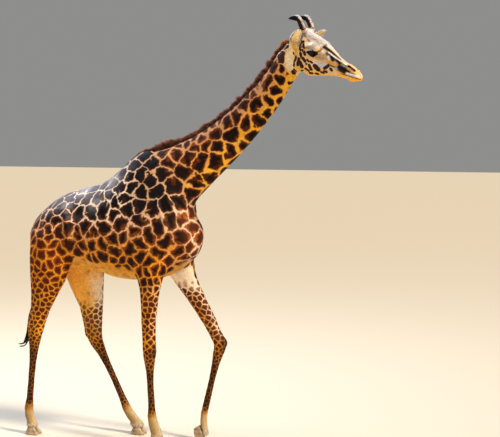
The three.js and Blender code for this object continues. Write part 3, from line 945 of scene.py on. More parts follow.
# %% [markdown]
# ## Spots of the head
# The spots of the cheek and the temple are too few and too odd for cells, so each is a small
# sausage on the skin: its middle in the frame of the skull, its half length, half width and slant.
# They are kept in the same attributes as the spurs, which have no place on the head.

# %% Spots
HEAD_SPOTS = [  # x and z in the skull's frame, half length, half width, all in mm, and degrees
    (56, -18, 22, 11, 92), (58, -62, 24, 9, 113), (98, -30, 29, 11, 98), (128, -37, 26, 11, 126),
    (102, 35, 17, 11, 114), (135, 52, 14, 9, 151), (142, 8, 22, 11, 147), (177, 15, 13, 7, 156),
    (206, 17, 13, 7, 161), (168, -18, 9, 7, 100), (207, -30, 28, 10, 118), (179, -57, 22, 10, 160),
    (257, -12, 32, 15, 150), (325, 15, 29, 9, 54), (371, 13, 15, 10, 143), (74, -132, 24, 12, 140),
    (86, -98, 22, 7, 170), (208, -75, 17, 9, 13), (256, -64, 19, 9, 11), (306, -44, 17, 8, 175),
    (332, -29, 17, 8, 21), (150, -90, 12, 8, 170), (28, 0, 9, 6, 97), (67, 108, 13, 9, 137),
    (74, 86, 10, 8, 120), (98, 112, 11, 7, 138), (112, 95, 9, 6, 137), (85, 63, 12, 9, 142),
    (111, 68, 9, 6, 109), (95, 94, 7, 5, 130), (111, 16, 11, 6, 111), (130, 68, 7, 5, 124),
    (55, 123, 12, 8, 96), (87, 133, 10, 6, 115), (50, 150, 13, 8, 90),
]
SPOT_ROUGH = 2.5
SPOT_GROWN = 1.12
SPOT_FUZZ = 2.8
head_tree = tree_of(co[of_head & (on_ear < 0.3)])
spots = []
for side in (-1, 1):
    for x, z, half_long, half_wide, slant in HEAD_SPOTS:
        jitter = draw.normal(0, SPOT_ROUGH, 2) * (side > 0)
        width = 90 - 45 * rise(-20, -60, z) * rise(120, 200, x) - 28 * (z < -90)
        middle = from_skull(np.array((x + jitter[0], side * width, z + jitter[1])) / 1000)
        place = to_skull(head_tree.find(middle)[0][:])
        reach = (half_long - half_wide) / 1000 * draw.uniform(0.85, 1.15)
        way = np.array((cos(radians(slant)), 0, sin(radians(slant)))) * reach
        ends = [head_tree.find(from_skull(end))[0][:] for end in (place - way, place + way)]
        spots.append((*ends[0], *ends[1], (SPOT_GROWN * half_wide + SPOT_FUZZ) / 1000))
spot_from, spot_to, spot_half = np.split(np.array(spots), (3, 6), axis=1)
spot_half = spot_half[:, 0]
print("spots:", len(spots))


def nearest_spots(points):
    """The spot whose edge is nearest to each point."""
    best = np.full(len(points), np.inf)
    which = np.zeros(len(points), int)
    for k, (start, end) in enumerate(zip(spot_from, spot_to)):
        way = end - start
        share = np.clip((points - start) @ way / max(way @ way, 1e-9), 0, 1)
        off = np.linalg.norm(points - start - share[:, None] * way, axis=1) - spot_half[k]
        which = np.where(off < best, k, which)
        best = np.minimum(off, best)
    return which


# %% [markdown]
# ## Colours of the coat
# Three colours are painted on the points of the skin, as with an airbrush: the pale ground, the
# heart of the patches and their rim. The ground is a cool tan on the back and turns to gold below.
# The patches are nearly black on the back and warmer brown lower down, with an orange rim.

# %% Paint
tones = {
    layer: np.tile(linear(code), (count, 1))
    for layer, code in (("ground", "#d0924f"), ("heart", "#1a0a05"), ("rim", "#5c280b"))
}


def paint(mask, **codes):
    """Paints colours over the layers where the mask is 1."""
    for layer, code in codes.items():
        pull(tones[layer], linear(code), np.clip(mask, 0, 1)[:, None])


low_body = rise(1.85, 1.45, z_at)
paint(rise(1.62, 1.85, z_at), ground="#e8ba8c")
paint(back_height, ground="#f0d8be")
paint(back_height * rise(-0.58, -0.25, x_at), ground="#d3a274")
paint(low_body, ground="#e29322")
paint(up_neck, ground="#f6ae55")
paint(up_neck * rise(-0.1, 0.7, to_nape), ground="#e2a76e")
paint(throat, ground="#ffbe3c")
paint(flank_edge * 0.8, ground="#d6912a")
paint(underside, ground="#dda548")
paint(groin * 0.8, ground="#d0932f")
paint(on_leg * 0.8, ground="#db9222")
paint(inside_leg * 0.9, ground="#ecb45c")
paint(hind_inner * 0.9, ground="#f4b349")
paint(back_height * rise(1.5, 0.9, neck_share), heart="#0f0a0a", rim="#291510")
# Painted sheen: the upward-facing upper back is painted grey, with paler cloudy painted glints.
painted_sheen = back_height * rise(1.2, 0.6, neck_share) * rise(0.30, 0.70, normal[:, 2])
painted_sheen *= rise(-0.34, -0.62, x_at)
paint(painted_sheen * 0.8, heart="#6c6468")
paint(painted_sheen * 0.75, rim="#77685f")
paint(painted_sheen * 0.6, ground="#efdccb")
painted_glint = painted_sheen * rise(0.05, 0.40, clouds(0.16, (5, 2, 8)))
paint(painted_glint * 0.8, heart="#a9a6ad", rim="#a9a0a0")
paint(low_body * 0.9, heart="#260f05")
paint(rise(2.0, 1.6, z_at), rim="#86400a")
paint(haunch * rise(1.80, 1.5, z_at), heart="#561b03")
paint(haunch * rise(1.95, 1.6, z_at), rim="#9a4a05")
paint(up_neck, heart="#160704", rim="#642a09")
nape = up_neck * rise(0.15, 0.75, to_nape)
paint(nape * 0.9, heart="#381607")
paint(nape, rim="#8a4617")
paint(on_leg, heart="#521f05", rim="#84420a")
paint(between_legs * 0.85, ground="#f4b349")
smudged = np.maximum(flank_edge, underside)
paint(smudged, heart="#4a2206", rim="#824c10")

leg_soft = below_belly * rise(1.42, 1.22, z_at)
near_fore = (leg_name == "fore_right") * leg_soft
# Painted highlight: the front of the upper near foreleg, towards the key light, is painted paler.
paint(near_fore * rise(2.9, 2.2, leg_share) * soft(around / 110), ground="#f2bd7e")
shin_dark = on_leg * rise(3.0, 3.6, leg_share) * rise(4.95, 4.60, leg_share)
paint(shin_dark * 0.9, ground="#65380b")
paint(shin_dark, heart="#2b0f04", rim="#471f06")
knee_dark = on_leg * ~is_hind * soft(np.abs(leg_share - 3.0) / 0.42) * soft(around / 110)
paint(knee_dark, ground="#54321a", heart="#231108", rim="#33190c")
paint(sock * rise(5.1, 4.8, leg_share), ground="#865a28")
paint(on_leg * rise(4.85, 5.10, leg_share), ground="#a98a5a")
paint(on_leg * rise(5.75, 5.95, leg_share), ground="#b9946c")
# Painted highlight: the front of each fetlock, towards the key light, is painted paler than its
# back.
paint(on_leg * soft(around / 80) * rise(4.75, 5.05, leg_share), ground="#b8a078")
far_fore = (leg_name == "fore_left") * leg_soft * rise(2.95, 2.5, leg_share)
# Painted highlight: the front of the far forearm, towards the key light, is painted paler.
paint(far_fore * soft(around / 130), ground="#ddbb96")
paint(far_fore * rise(1.55, 0.95, leg_share), ground="#fbf2e6")
paint(between_legs * (leg_name == "fore_left"), ground="#f2dcbe")
paint(far_fore, rim="#7f4420", heart="#56290f")
far_hind = (leg_name == "hind_left") * leg_soft
# Painted highlight: the front of the far hind leg, towards the key light, is painted pale.
paint(far_hind * soft(around / 80) * between(0.6, 2.7, leg_share, 0.5), ground="#ecdcc2")
paint(far_hind * rise(3.3, 2.8, leg_share), rim="#8a5a2c", heart="#6b3e1c")

# %% Paint the head
BRUSH_FIRM = 1.6
BRUSHES = (  # width in mm, colour, strength, and places in the skull's frame in mm
    (46, "#ecd7ae", 0.9, (0, 80, 110), (1, 97, 52), (3, 82, -44), (46, 78, -100)),
    (34, "#dba440", 0.8, (24, 88, 70), (44, 86, 40), (56, 84, 16)),
    (60, "#e3b25a", 0.7, (100, 90, -80), (200, 80, -70), (300, 60, -40)),
    (45, "#f0ab34", 0.9, (170, 50, -130), (300, 30, -80), (440, 20, -25)),
    (95, "#d6cfca", 1.0, (100, 0, 200), (170, 0, 200), (240, 0, 185)),
    (34, "#b9aea8", 0.8, (64, 59, 178), (116, 51, 175), (168, 49, 174)),
    (12, "#958882", 0.7, (90, 20, 198), (130, 34, 192), (185, 30, 190)),
    (12, "#7f7169", 0.7, (70, 55, 170), (105, 68, 156), (135, 70, 152)),
    (10, "#857a76", 0.6, (150, 50, 176), (215, 40, 172), (260, 30, 166)),
    (34, "#b3aaa6", 0.9, (190, 98, 135), (204, 63, 156), (194, 34, 179)),
    (21, "#fbf7f4", 1.0, (116, 85, 122), (158, 77, 143)),
    (17, "#bb8440", 0.8, (118, 90, 96), (165, 95, 118)),
    (19, "#6a5e54", 0.5, (244, 66, 142), (256, 44, 160), (250, 22, 170)),
    (16, "#5f4328", 0.7, (232, 94, 112), (245, 73, 128)),
    (20, "#eee4da", 0.9, (262, 66, 118), (300, 60, 116)),
    (42, "#bb9770", 0.9, (250, 84, 85), (300, 68, 95)),
    (28, "#5f4231", 0.9, (300, 52, 126), (380, 42, 110), (460, 40, 92)),
    (38, "#4b3023", 1.0, (420, 50, 62), (500, 50, 66)),
    # painted sky reflection, pale blue-grey, on the cheek below the eye
    (28, "#c2c7d2", 0.9, (300, 67, 26), (232, 79, 11)),
    (18, "#ddc7a6", 0.8, (400, 50, 20), (330, 60, 18)),
    # painted sky reflection, pale blue, below and before the eye
    (19, "#b4c1da", 1.0, (262, 75, 28), (304, 69, 46), (330, 64, 50)),
    (10, "#353f54", 1.1, (336, 62, 58), (364, 57, 53), (393, 54, 57)),
    # painted sky reflection, blue-grey, on the side of the nose
    (13, "#a4abbc", 1.0, (398, 53, 53), (440, 51, 49)),
    # painted highlight, a small blue-white glint before the eye
    (14, "#ccdaf0", 1.0, (318, 61, 108), (322, 60, 100)),
    (17, "#dc9c38", 1.0, (324, 66, 74), (362, 58, 72), (425, 48, 72)),
    (22, "#1a1210", 1.0, (255, 46, 156), (297, 37, 149), (339, 30, 135), (393, 24, 117)),
    (21, "#130d0b", 1.2, (334, 49, 119), (356, 52, 99)),
    (15, "#130d0b", 1.1, (384, 38, 104), (413, 41, 95)),
    (9, "#130d0b", 1.0, (400, 26, 112), (424, 24, 108)),
    (9, "#efe2d8", 1.2, (300, 50, 138), (353, 36, 122), (400, 27, 113), (456, 22, 105)),
    (14, "#8b9098", 0.9, (430, 44, 90), (462, 40, 91)),
    (28, "#1a0e09", 1.2, (425, 49, 70), (466, 49, 69), (500, 47, 74)),
    (14, "#2e1d16", 1.0, (430, 51, 50), (480, 51, 52), (500, 52, 60)),
    # painted highlight along the top of the nose, where the key light falls
    (16, "#d5cbca", 1.0, (240, 0, 190), (330, 0, 150), (400, 0, 122), (500, 0, 114)),
    (36, "#eebd80", 0.9, (540, 20, 98), (585, 0, 75), (600, 0, 62)),
    (13, "#d8923c", 1.2, (470, 24, 112), (510, 24, 110), (545, 20, 98)),
    (9, "#dfa64e", 1.2, (484, 40, 88), (540, 36, 82)),
    (9, "#54301f", 0.9, (520, 48, 69), (556, 40, 72)),
    (14, "#dbd0ca", 1.2, (500, 52, 54), (536, 50, 58), (570, 39, 63), (600, 10, 60)),
    (36, "#fbb22a", 1.2, (446, 44, 14), (514, 34, 6), (568, 34, 26), (598, 10, 36)),
)
upright = local.copy()
upright[:, 1] = np.abs(upright[:, 1])
paint(rise(0.2, 0.8, on_head), ground="#e6be88")
# A painted highlight: the chest's front faces the key light and is painted paler, patches too.
chest_painted_highlight = rise(0.35, 0.80, normal[:, 0]) * rise(-0.15, 0.0, x_at)
chest_painted_highlight *= rise(1.40, 1.50, z_at) * rise(1.98, 1.85, z_at)
paint(chest_painted_highlight, ground="#eccdae", rim="#a85c22")
paint(chest_painted_highlight * 0.8, heart="#5c2a10")
paint(rise(0.2, 0.8, on_head), heart="#391a08", rim="#4a2410")
for wide, code, strength, *path in BRUSHES:
    stroke = trail(upright, mm(*path), wide / 1000) * BRUSH_FIRM * strength
    paint(stroke * (of_head & (on_ear < 0.5)), ground=code)
slit_far = near_line(upright, NOSTRIL_LINE)[0]
paint(rise(0.0140, 0.0100, slit_far) * of_head, ground="#1c0c07")
mouth_far = near_line(upright * (1, 0, 1), MOUTH_LINE)[0]
paint(soft(mouth_far / 0.0050) * 1.3 * of_head * (local[:, 0] > 0.43), ground="#5a3418")
eye_along, eye_up, _ = eye_axes(upright)
eye_share = (eye_along - 0.010) / 0.064
eye_top = 0.019 * np.clip(1 - eye_share**2, 0, 1)
eye_foot = -0.037 * np.clip(1 - np.abs(eye_share), 0, 1)
in_eye = np.minimum(eye_top - eye_up, eye_up - eye_foot) - 0.1 * (np.abs(eye_share) > 1)
by_eye_side = of_head & (eye_gap > -0.9)
paint(by_eye_side * rise(-0.002, 0.002, in_eye), ground="#0d0807")
on_lids = np.stack([eye_along, eye_up, 0 * eye_up], 1)
# A painted reflection: a pale blue band of sky light along the upper lid.
lid_painted_reflection = trail(on_lids, [(-0.026, 0.022, 0), (0.018, 0.025, 0)], 0.008)
paint(by_eye_side * lid_painted_reflection * 1.4, ground="#b4c4de")
paint(ear_inside, ground="#ffe2a4")
paint(on_ear * (1 - ear_inside) * rise(0.3, 0.6, on_ear), ground="#f0cc92")
paint(ear_inside * rise(0.42, 0.20, ear_along), ground="#c48c42")
paint(ear_rim, ground="#f4efe9")
horn_foot = oval(upright, (0.052, 0.050, 0.185), (0.050, 0.040, 0.045))
paint(horn_foot * 0.9 * (on_ear < 0.5), ground="#5a4036")

# %% [markdown]
# Where the place is pale the lines widen until the patches are gone. Soft clouds break that edge,
# and let faint smudges through on the belly.

# %% Fade the patches
blotch = clouds(0.055, (3, 7, 1))
fading = blotch * rise(0.05, 0.3, pale) * (1 - on_head) * rise(1.0, 0.97, pale)
pale = np.clip(pale + 0.35 * fading, 0, 1)
line_wide = line_wide + (0.45 - 0.30 * on_leg) * spacing * rise(0.25, 0.95, pale)
shown = np.maximum(rise(0.97, 0.50, pale), 0.8 * rise(-0.08, 0.22, blotch) * smudged)
sleek = back_height * (1 - on_head) * (1 - on_leg) * (1 - up_neck) * rise(-0.34, -0.66, x_at)

# %% [markdown]
# The patch middles are kept on the faces, not on the points. The shader then measures the distance
# from every spot of the surface to the three nearest middles, so a pale line stays sharp at any
# size, however coarse the skin under it is.

# %% Store the markings on the skin
polygon_count = len(skin.data.polygons)
owner_polygon = np.repeat(np.arange(polygon_count), totals)


def on_polygons(values):
    """The mean of a point value over each face."""
    out = np.zeros((polygon_count, values.shape[1]))
    for k in range(values.shape[1]):
        out[:, k] = np.bincount(owner_polygon, values[corners, k], polygon_count) / totals
    return out


centres = on_polygons(co)
centre_which, _ = three_nearest(centres + on_polygons(shift))
spur_near = np.array([spur_tree.find(p)[1] for p in centres])
mark_from, mark_to = spur_from[spur_near], spur_to[spur_near]
mark_half = np.zeros(polygon_count)
head_faces = np.where(on_polygons(on_head[:, None])[:, 0] > 0.2)[0]
nearest = nearest_spots(centres[head_faces])
mark_from[head_faces] = spot_from[nearest]
mark_to[head_faces] = spot_to[nearest]
mark_half[head_faces] = spot_half[nearest]


def store(obj, name, values, domain="POINT", colour=False):
    """Keeps numbers, vectors or colours on the points or faces of an object."""
    kind, field = ("FLOAT", "value") if values.ndim == 1 else ("FLOAT_VECTOR", "vector")
    if colour:
        kind, field = "FLOAT_COLOR", "color"
        values = np.concatenate([values, np.ones((len(values), 1))], 1)
    layer = obj.data.attributes.new(name, kind, domain)
    layer.data.foreach_set(field, np.ascontiguousarray(values, np.float32).ravel())


def dress(obj, finish, slot, *replaced):
    """Adds the material, parents to the root body, hides the replaced nodes; slot is not used."""
    obj.data.materials.append(finish)
    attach(obj, "root")
    if replaced:
        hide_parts(*replaced)
    return obj


MARKINGS = [("mark_from", mark_from, "FACE"), ("mark_to", mark_to, "FACE")]
MARKINGS += [("spot_half", mark_half, "FACE")]
for rank, name in enumerate(("near_patch", "next_patch", "third_patch")):
    MARKINGS.append((name, seeds[centre_which[:, rank]], "FACE"))
for name, values in (
    ("sleek", sleek), ("shift", shift), ("line_wide", line_wide), ("spacing", spacing),
    ("shown", shown), *tones.items(),
):
    MARKINGS.append((name, values, "POINT"))
for name, values, domain in MARKINGS:
    store(skin, name, values, domain, name in tones)

# %% [markdown]
# ## The coat's finish
# A giraffe's hair is short, straight and a little greasy. It lies flat, hides the skin and shines
# dully, so the shader is rough, smoother on the sleek back, with no metal and the IOR of hair, 1.55.
# The coat has no sheen; the mane, tail, horns, lashes, ear hair and coronets have a little. Single
# hairs are 0.1 mm wide; they are drawn as streaks of 2.5 mm, so that they show at all.

# %% Coat material
HAIR_IOR = 1.55
STREAK_MM = 2.5
FUZZ_SHARE = 0.34


def hair_finish(shader, colour, place, bump, sleek=0.0):
    """Streaks along the body in colour and height, and the gloss of short hair, where sleek."""
    streak = grain(place * (0.35, 1.0, 0.45), 1000 / STREAK_MM / 3, 3.0, Roughness=0.6)
    cloud = grain(place, 9.0, 4.0)
    shade = grade(streak, 0.25, 0.75, 0.80, 1.16) * grade(cloud, 0.3, 0.7, 0.92, 1.08)
    feed(shader, {
        "Base Color": colour.then("SCALE", Scale=shade),
        "Normal": dents(streak + cloud * 0.6, bump, 0.002),
        "Roughness": grade(streak, 0.2, 0.8, 0.68, 0.52) - sleek * 0.28,
        "IOR": HAIR_IOR,
        "Specular IOR Level": 0.10,
        "Sheen Weight": 0.0,
        "Sheen Roughness": 0.35,
        "Sheen Tint": rgba("#d9dcea"),
    })


def wobble(place, size, reach):
    """A random shift of up to half the reach, in lumps of the given size."""
    turns = grain(place, 1 / size, 2.0, "Color")
    return (turns - (0.5, 0.5, 0.5)).then("SCALE", Scale=reach)


def marked_coat(name, on_strands):
    """The coat with its markings. On strands the place is that of the skin under the strand."""
    material, shader = new_material(name)
    place = read("skin_place", "Vector") if on_strands else own_place()
    apart, wide = read("spacing"), read("line_wide")
    fine = wobble(place, 0.011, 0.0150) + wobble(place, 0.028, 0.0300)
    fine = fine.then("SCALE", Scale=(apart / 0.11).then("MINIMUM", 1.0))
    jagged = place + read("shift", "Vector") + fine
    first, second, third = (
        jagged.then("DISTANCE", read(middle, "Vector"))
        for middle in ("near_patch", "next_patch", "third_patch")
    )
    least = first.then("MINIMUM", second).then("MINIMUM", third)
    most = first.then("MAXIMUM", second).then("MAXIMUM", third)
    inner = first + second + third - most - least * 2.0 - wide
    fuzz = wide * FUZZ_SHARE
    patch = grade(inner, fuzz * -1.0, fuzz)
    root = read("mark_from", "Vector")
    way = read("mark_to", "Vector") - root
    off = place + fine - root
    reach = off.then("DOT_PRODUCT", way) / (way.then("DOT_PRODUCT", way) + 1e-9)
    reach = Wire(add("ShaderNodeClamp", {0: reach}))
    beside = off.then("DISTANCE", way.then("SCALE", Scale=reach))
    spur = grade(beside - wide * grade(reach, 0.0, 1.0, 0.40, 0.06), -0.0018, 0.0036)
    patch = patch * (spur * 0.75 + 0.25) * read("shown")
    half = read("spot_half")
    spot = grade(beside - half, -0.0022, 0.0022, 1.0, 0.0) * half.then("GREATER_THAN", 0.001)
    depth = inner.then("MINIMUM", beside * 1.7) / apart + (grain(place, 26.0, 4.0) - 0.5) * 0.7
    depth = grade(depth, 0.02, 0.40).then("MAXIMUM", spot)
    patch_colour = mixed(depth, read("rim", "Color"), read("heart", "Color"))
    colour = mixed(patch.then("MAXIMUM", spot), read("ground", "Color"), patch_colour)
    if on_strands:
        colour = mixed(1.0, colour, read("hair", "Color"), "MULTIPLY")
    hair_finish(shader, colour, place, 0.35, read("sleek"))
    return material


flesh_nodes = [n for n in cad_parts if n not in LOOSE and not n.startswith("eye_")]
dress(skin, marked_coat("short_giraffe_hair", False), "coat", *flesh_nodes)
print("markings stored")

# %% [markdown]
# ## Strands of hair
# Every hair piece is made of strands: thin blades of two points a row, or locks of three points a
# row, that close in a tip. A strand follows its own spine, and all the strands of a piece are
# joined in one mesh. Each strand keeps its colour as an attribute of its points.

# %% Strands
BAKE_PATCH = 0.003


def strand_form(rows, around):
    """One strand, rolled up from a grid: the row, turn and width of its points, and its faces."""
    flat = around == 2
    bm = bmesh.new()
    bmesh.ops.create_grid(bm, x_segments=1 if flat else around, y_segments=rows - 1, size=0.5)
    for v in bm.verts:
        turn = (v.co.x + 0.5) * (pi if flat else 2 * pi)
        row = round((v.co.y + 0.5) * (rows - 1))
        wide = 0 if row == rows - 1 else 1
        v.co = (wide * cos(turn), wide * sin(turn), row)
    bmesh.ops.remove_doubles(bm, verts=bm.verts, dist=1e-4)
    bm.verts.index_update()
    form = np.array([v.co for v in bm.verts])
    faces = [[v.index for v in f.verts] for f in bm.faces]
    bm.free()
    turn = np.arctan2(form[:, 1], form[:, 0]) + (0 if flat else pi / 2)
    return np.round(form[:, 2]).astype(int), turn, faces


def strands(name, spines, ups, halves, around, colours, patches):
    """One mesh of strands. spines: n x rows x 3. The rest is given for all or for each of them."""
    number, rows, _ = spines.shape
    row, turn, faces = strand_form(rows, around)
    ways = unit(np.gradient(spines, axis=1))
    sides = unit(np.cross(ways, np.broadcast_to(ups, (number, 3))[:, None, :]))
    lifts = np.cross(sides, ways)
    halves = np.broadcast_to(halves, (number, rows - 1))
    halves = np.concatenate([halves, np.zeros((number, 1))], 1)
    ring = sides[:, row] * np.cos(turn)[:, None] + lifts[:, row] * np.sin(turn)[:, None]
    points = spines[:, row] + ring * halves[:, row, None]
    loops = (np.arange(number)[:, None] * len(row) + np.concatenate(faces)).ravel()
    sizes = np.tile([len(face) for face in faces], number)
    mesh = bpy.data.meshes.new(name)
    mesh.vertices.add(number * len(row))
    mesh.vertices.foreach_set("co", points.astype(np.float32).ravel())
    mesh.loops.add(len(loops))
    mesh.loops.foreach_set("vertex_index", loops.astype(np.int32))
    mesh.polygons.add(len(sizes))
    mesh.polygons.foreach_set("loop_start", (np.cumsum(sizes) - sizes).astype(np.int32))
    mesh.update(calc_edges=True)
    mesh.shade_smooth()
    square = np.stack([row / (rows - 1), np.cos(turn) / 2 + 0.5], 1) - 0.5
    spots = (np.broadcast_to(patches, (number, 2))[:, None] + square * BAKE_PATCH).reshape(-1, 2)
    uv = mesh.uv_layers.new(name="OFBake")
    uv.data.foreach_set("uv", spots[loops].astype(np.float32).ravel())
    made = new_object(name, mesh)
    colours = np.broadcast_to(colours, (number, rows, 3))
    store(made, "hair", colours[:, row].reshape(-1, 3), colour=True)
    return made


def rows_at(rows):
    """The share of each row of a strand, from its root to its tip."""
    return np.linspace(0, 1, rows)[None, :, None]


def varied(low, high, *shape):
    return draw.uniform(low, high, shape)


def triangles(obj):
    return sum(len(p.vertices) - 2 for p in obj.data.polygons)


def hair_material(name, shine):
    material, shader = new_material(name)
    hair_finish(shader, read("hair", "Color"), own_place(), 0.25)
    feed(shader, {"Sheen Weight": shine})
    return material


# %% [markdown]
# ## The unwrap
# Every strand has a map, OFBake, in which it is a tiny square. Strands that grow on the skin have
# it at their root's place on an unwrap of the skin: every face goes to the side of a box that it
# looks at, one box for each limb, the neck, the trunk and the head, and the sides lie in rows.

# %% Unwrap the skin
PARTS = ["trunk", "neck", "head", *LEG_LINES]
CELL = np.array((1 / len(PARTS), 1 / 6))
CELL_GAP = 0.004
part_of = np.where(of_head, 2, neck_share > 1.5)
for number, name in enumerate(LEG_LINES):
    part_of[(leg_name == name) & (on_leg > 0.5)] = 3 + number
polygon_way = fetched(skin.data.polygons, "normal")
starts = np.cumsum(totals) - totals
side_axis = np.argmax(np.abs(polygon_way), axis=1)
side_of = side_axis * 2 + (polygon_way[np.arange(polygon_count), side_axis] < 0)
chart_of = part_of[corners[starts]] * 6 + side_of
chart_low = np.full((len(PARTS) * 6, 3), np.inf)
chart_high = -chart_low
for axis in range(3):
    np.minimum.at(chart_low[:, axis], chart_of, centres[:, axis])
    np.maximum.at(chart_high[:, axis], chart_of, centres[:, axis])


def bake_places(polygons, points):
    """The place on the unwrap of points that lie on these faces of the skin."""
    chart = chart_of[polygons]
    share = (points - chart_low[chart]) / np.maximum(chart_high[chart] - chart_low[chart], 1e-6)
    axis = side_of[polygons] // 2
    rows = np.arange(len(points))
    flat = np.stack([share[rows, (axis + 1) % 3], share[rows, (axis + 2) % 3]], 1)
    corner = np.stack([chart // 6, chart % 6], 1) * CELL
    return corner + CELL_GAP + np.clip(flat, 0, 1) * (CELL - 2 * CELL_GAP)


# %% Places on the skin
co_final = fetched(skin.data.vertices, "co")
fan_from, fan_face = [], []
for k in range(1, int(totals.max()) - 1):
    wide_enough = np.where(totals > k + 1)[0]
    fan_from.append(np.stack([corners[starts[wide_enough] + j] for j in (0, k, k + 1)], 1))
    fan_face.append(wide_enough)
fan, fan_face = np.concatenate(fan_from), np.concatenate(fan_face)
fan_a, fan_b, fan_c = (co_final[fan[:, k]] for k in range(3))
fan_area = np.linalg.norm(np.cross(fan_b - fan_a, fan_c - fan_a), axis=1) / 2


def scatter(number, chance):
    """Random roots on the skin: a function that reads point values at them, and their faces.

    chance is how likely each point of the skin is to carry one.
    """
    weight = fan_area * chance[fan].mean(axis=1)
    picks = draw.choice(len(fan), number, p=weight / weight.sum())
    a, b = np.sqrt(draw.random(number)), draw.random(number)
    shares = np.stack([1 - a, a * (1 - b), a * b], 1)
    return lambda values: np.einsum("ij...,ij->i...", values[fan[picks]], shares), fan_face[picks]


print("unwrapped", polygon_count, "faces; skin area", round(fan_area.sum(), 2), "m2")

# %% [markdown]
# ## The mane
# A stiff brush of hair runs from the withers to the crown. Its strands stand on the crest of the
# neck about as high as the solid of the mane reaches there, lean back a little and curl at its
# lower end.

# %% Mane
MANE_STRANDS = 6400
CREST_REACH = 0.12
MANE_HALVES = (0.0020, 0.0024, 0.0021, 0.0013)
mane_tree = surface_of(["mane"])
crest_way = unit(near_line(co_final, NECK_LINE)[2])
crest_way[:, 1] *= 0.3
crest_way = unit(crest_way)
crest_height = np.zeros(count)
for i in np.where((to_nape > 0.6) & (on_leg < 0.5))[0]:
    above = Vector(co_final[i] + crest_way[i] * CREST_REACH)
    hit = mane_tree.ray_cast(above, Vector(-crest_way[i]), CREST_REACH + 0.02)
    if hit[0] is not None:
        crest_height[i] = CREST_REACH - hit[3]
n = MANE_STRANDS
at_root, faces = scatter(n, crest_height > 0.006)
foot = at_root(co_final)
tall = np.maximum(at_root(crest_height), 0.008)
stand = unit(at_root(crest_way))
neck_at = near_line(foot, NECK_LINE)[1]
down_neck = unit(np.cross(stand, (0.0, 1.0, 0.0)))
down_neck *= -np.sign(down_neck[:, :1])
lean = draw.normal(0.16, 0.10, (n, 1, 1))
tilt = draw.normal(0, 0.09, (n, 1, 1))
tall *= 1 - 0.38 * rise(1.7, 0.9, neck_at)
ragged = np.array([noise.noise(Vector(p) / 0.030 + Vector((5, 1, 8))) for p in foot])
long = (tall * varied(0.72, 1.02, n) * (1 + 0.35 * ragged))[:, None, None]
t = rows_at(5)
curl = np.where(neck_at < 0.4, 0.45, 0.12)[:, None, None] * draw.normal(0, 1, (n, 1, 1))
side_way = np.array([0.0, 1.0, 0.0])
down_neck, stand = down_neck[:, None], stand[:, None]
spines = foot[:, None] - stand * 0.006 + long * t * stand
spines = spines + long * t**1.5 * (lean * down_neck + tilt * side_way)
spines = spines + long * 0.5 * curl * np.sin(t * 4.2) * t * (0.6 * down_neck + 0.3 * side_way)
halves = MANE_HALVES * varied(0.7, 1.25, n, 1)
# The tips are painted light, as a rim light along the top of the brush, orange at both ends.
dark, painted_rim_light_tip = linear("#260602"), linear("#c07a55")
orange = np.clip(rise(5.2, 6.8, neck_at) + rise(0.5, 0.0, neck_at) * 0.5, 0, 1)[:, None, None]
shade = dark + t**4.5 * (painted_rim_light_tip + orange * (linear("#e08a45") - painted_rim_light_tip) - dark)
clump = np.array([noise.noise(Vector(p) / 0.022) for p in foot])[:, None, None]
shade = shade * varied(0.7, 1.25, n, 1, 1) * (1 + 0.7 * clump)
mane = strands("mane_hair", spines, side_way, halves, 3, shade, bake_places(faces, foot))
dress(mane, hair_material("stiff_auburn_mane_hair", 0.02), "mane_hair", "mane")
print("mane:", triangles(mane), "triangles, highest", round(float(tall.max()) * 1000), "mm")

# %% [markdown]
# ## The tail
# The bare part of the tail is a short-haired rope. Below it hangs a whisk of long black hair, whose
# strands begin along the tail's end and follow the whisk's own line. A few wisps leave it.

# %% Tail
TAIL_VOXEL = 0.006
TUFT_STRANDS = 2600
TUFT_LINE = mm(
    (-1372, -22, 1130), (-1378, -26, 1010), (-1386, -30, 910),
    (-1402, -32, 830), (-1438, -34, 765), (-1478, -34, 724),
)
WISPS = (  # number of strands, their scatter, and the wisp's line in mm
    (70, 0.0022, (-1392, -30, 860), (-1430, -30, 772), (-1452, -30, 726), (-1482, -30, 710),
     (-1516, -30, 708)),
    (55, 0.0020, (-1400, -40, 880), (-1446, -40, 800), (-1452, -40, 756), (-1476, -40, 734),
     (-1522, -40, 729)),
    (26, 0.0022, (-1375, -30, 950), (-1385, -40, 840), (-1372, -50, 790), (-1345, -50, 772)),
)
TUFT_SHARES = (0.0, 0.26, 0.48, 0.68, 0.86, 1.0)
TUFT_REACH = (0.014, 0.038, 0.046, 0.040, 0.026, 0.016)
TUFT_HALVES = (0.0012, 0.0016, 0.0017, 0.0016, 0.0014, 0.0011, 0.0007)


def curve_at(line, shares, values):
    """Places along a line of points: shares are where its points lie, from 0 to 1."""
    return np.stack([np.interp(values, shares, line[:, k]) for k in range(3)], -1)


def refined(name, nodes, voxel, times, inset=0.0):
    """A finer, rounder copy of some solids as one new piece, and the places of its points."""
    bm = remeshed(copied(nodes), voxel)
    axes = {"use_axis_x": True, "use_axis_y": True, "use_axis_z": True}
    for _ in range(times):
        bmesh.ops.smooth_vert(bm, verts=bm.verts, factor=0.5, **axes)
    bm.normal_update()
    if inset:
        for v in bm.verts:
            v.co -= v.normal * inset
    made = linked(name, bm)
    made.data.shade_smooth()
    return made, fetched(made.data.vertices, "co")


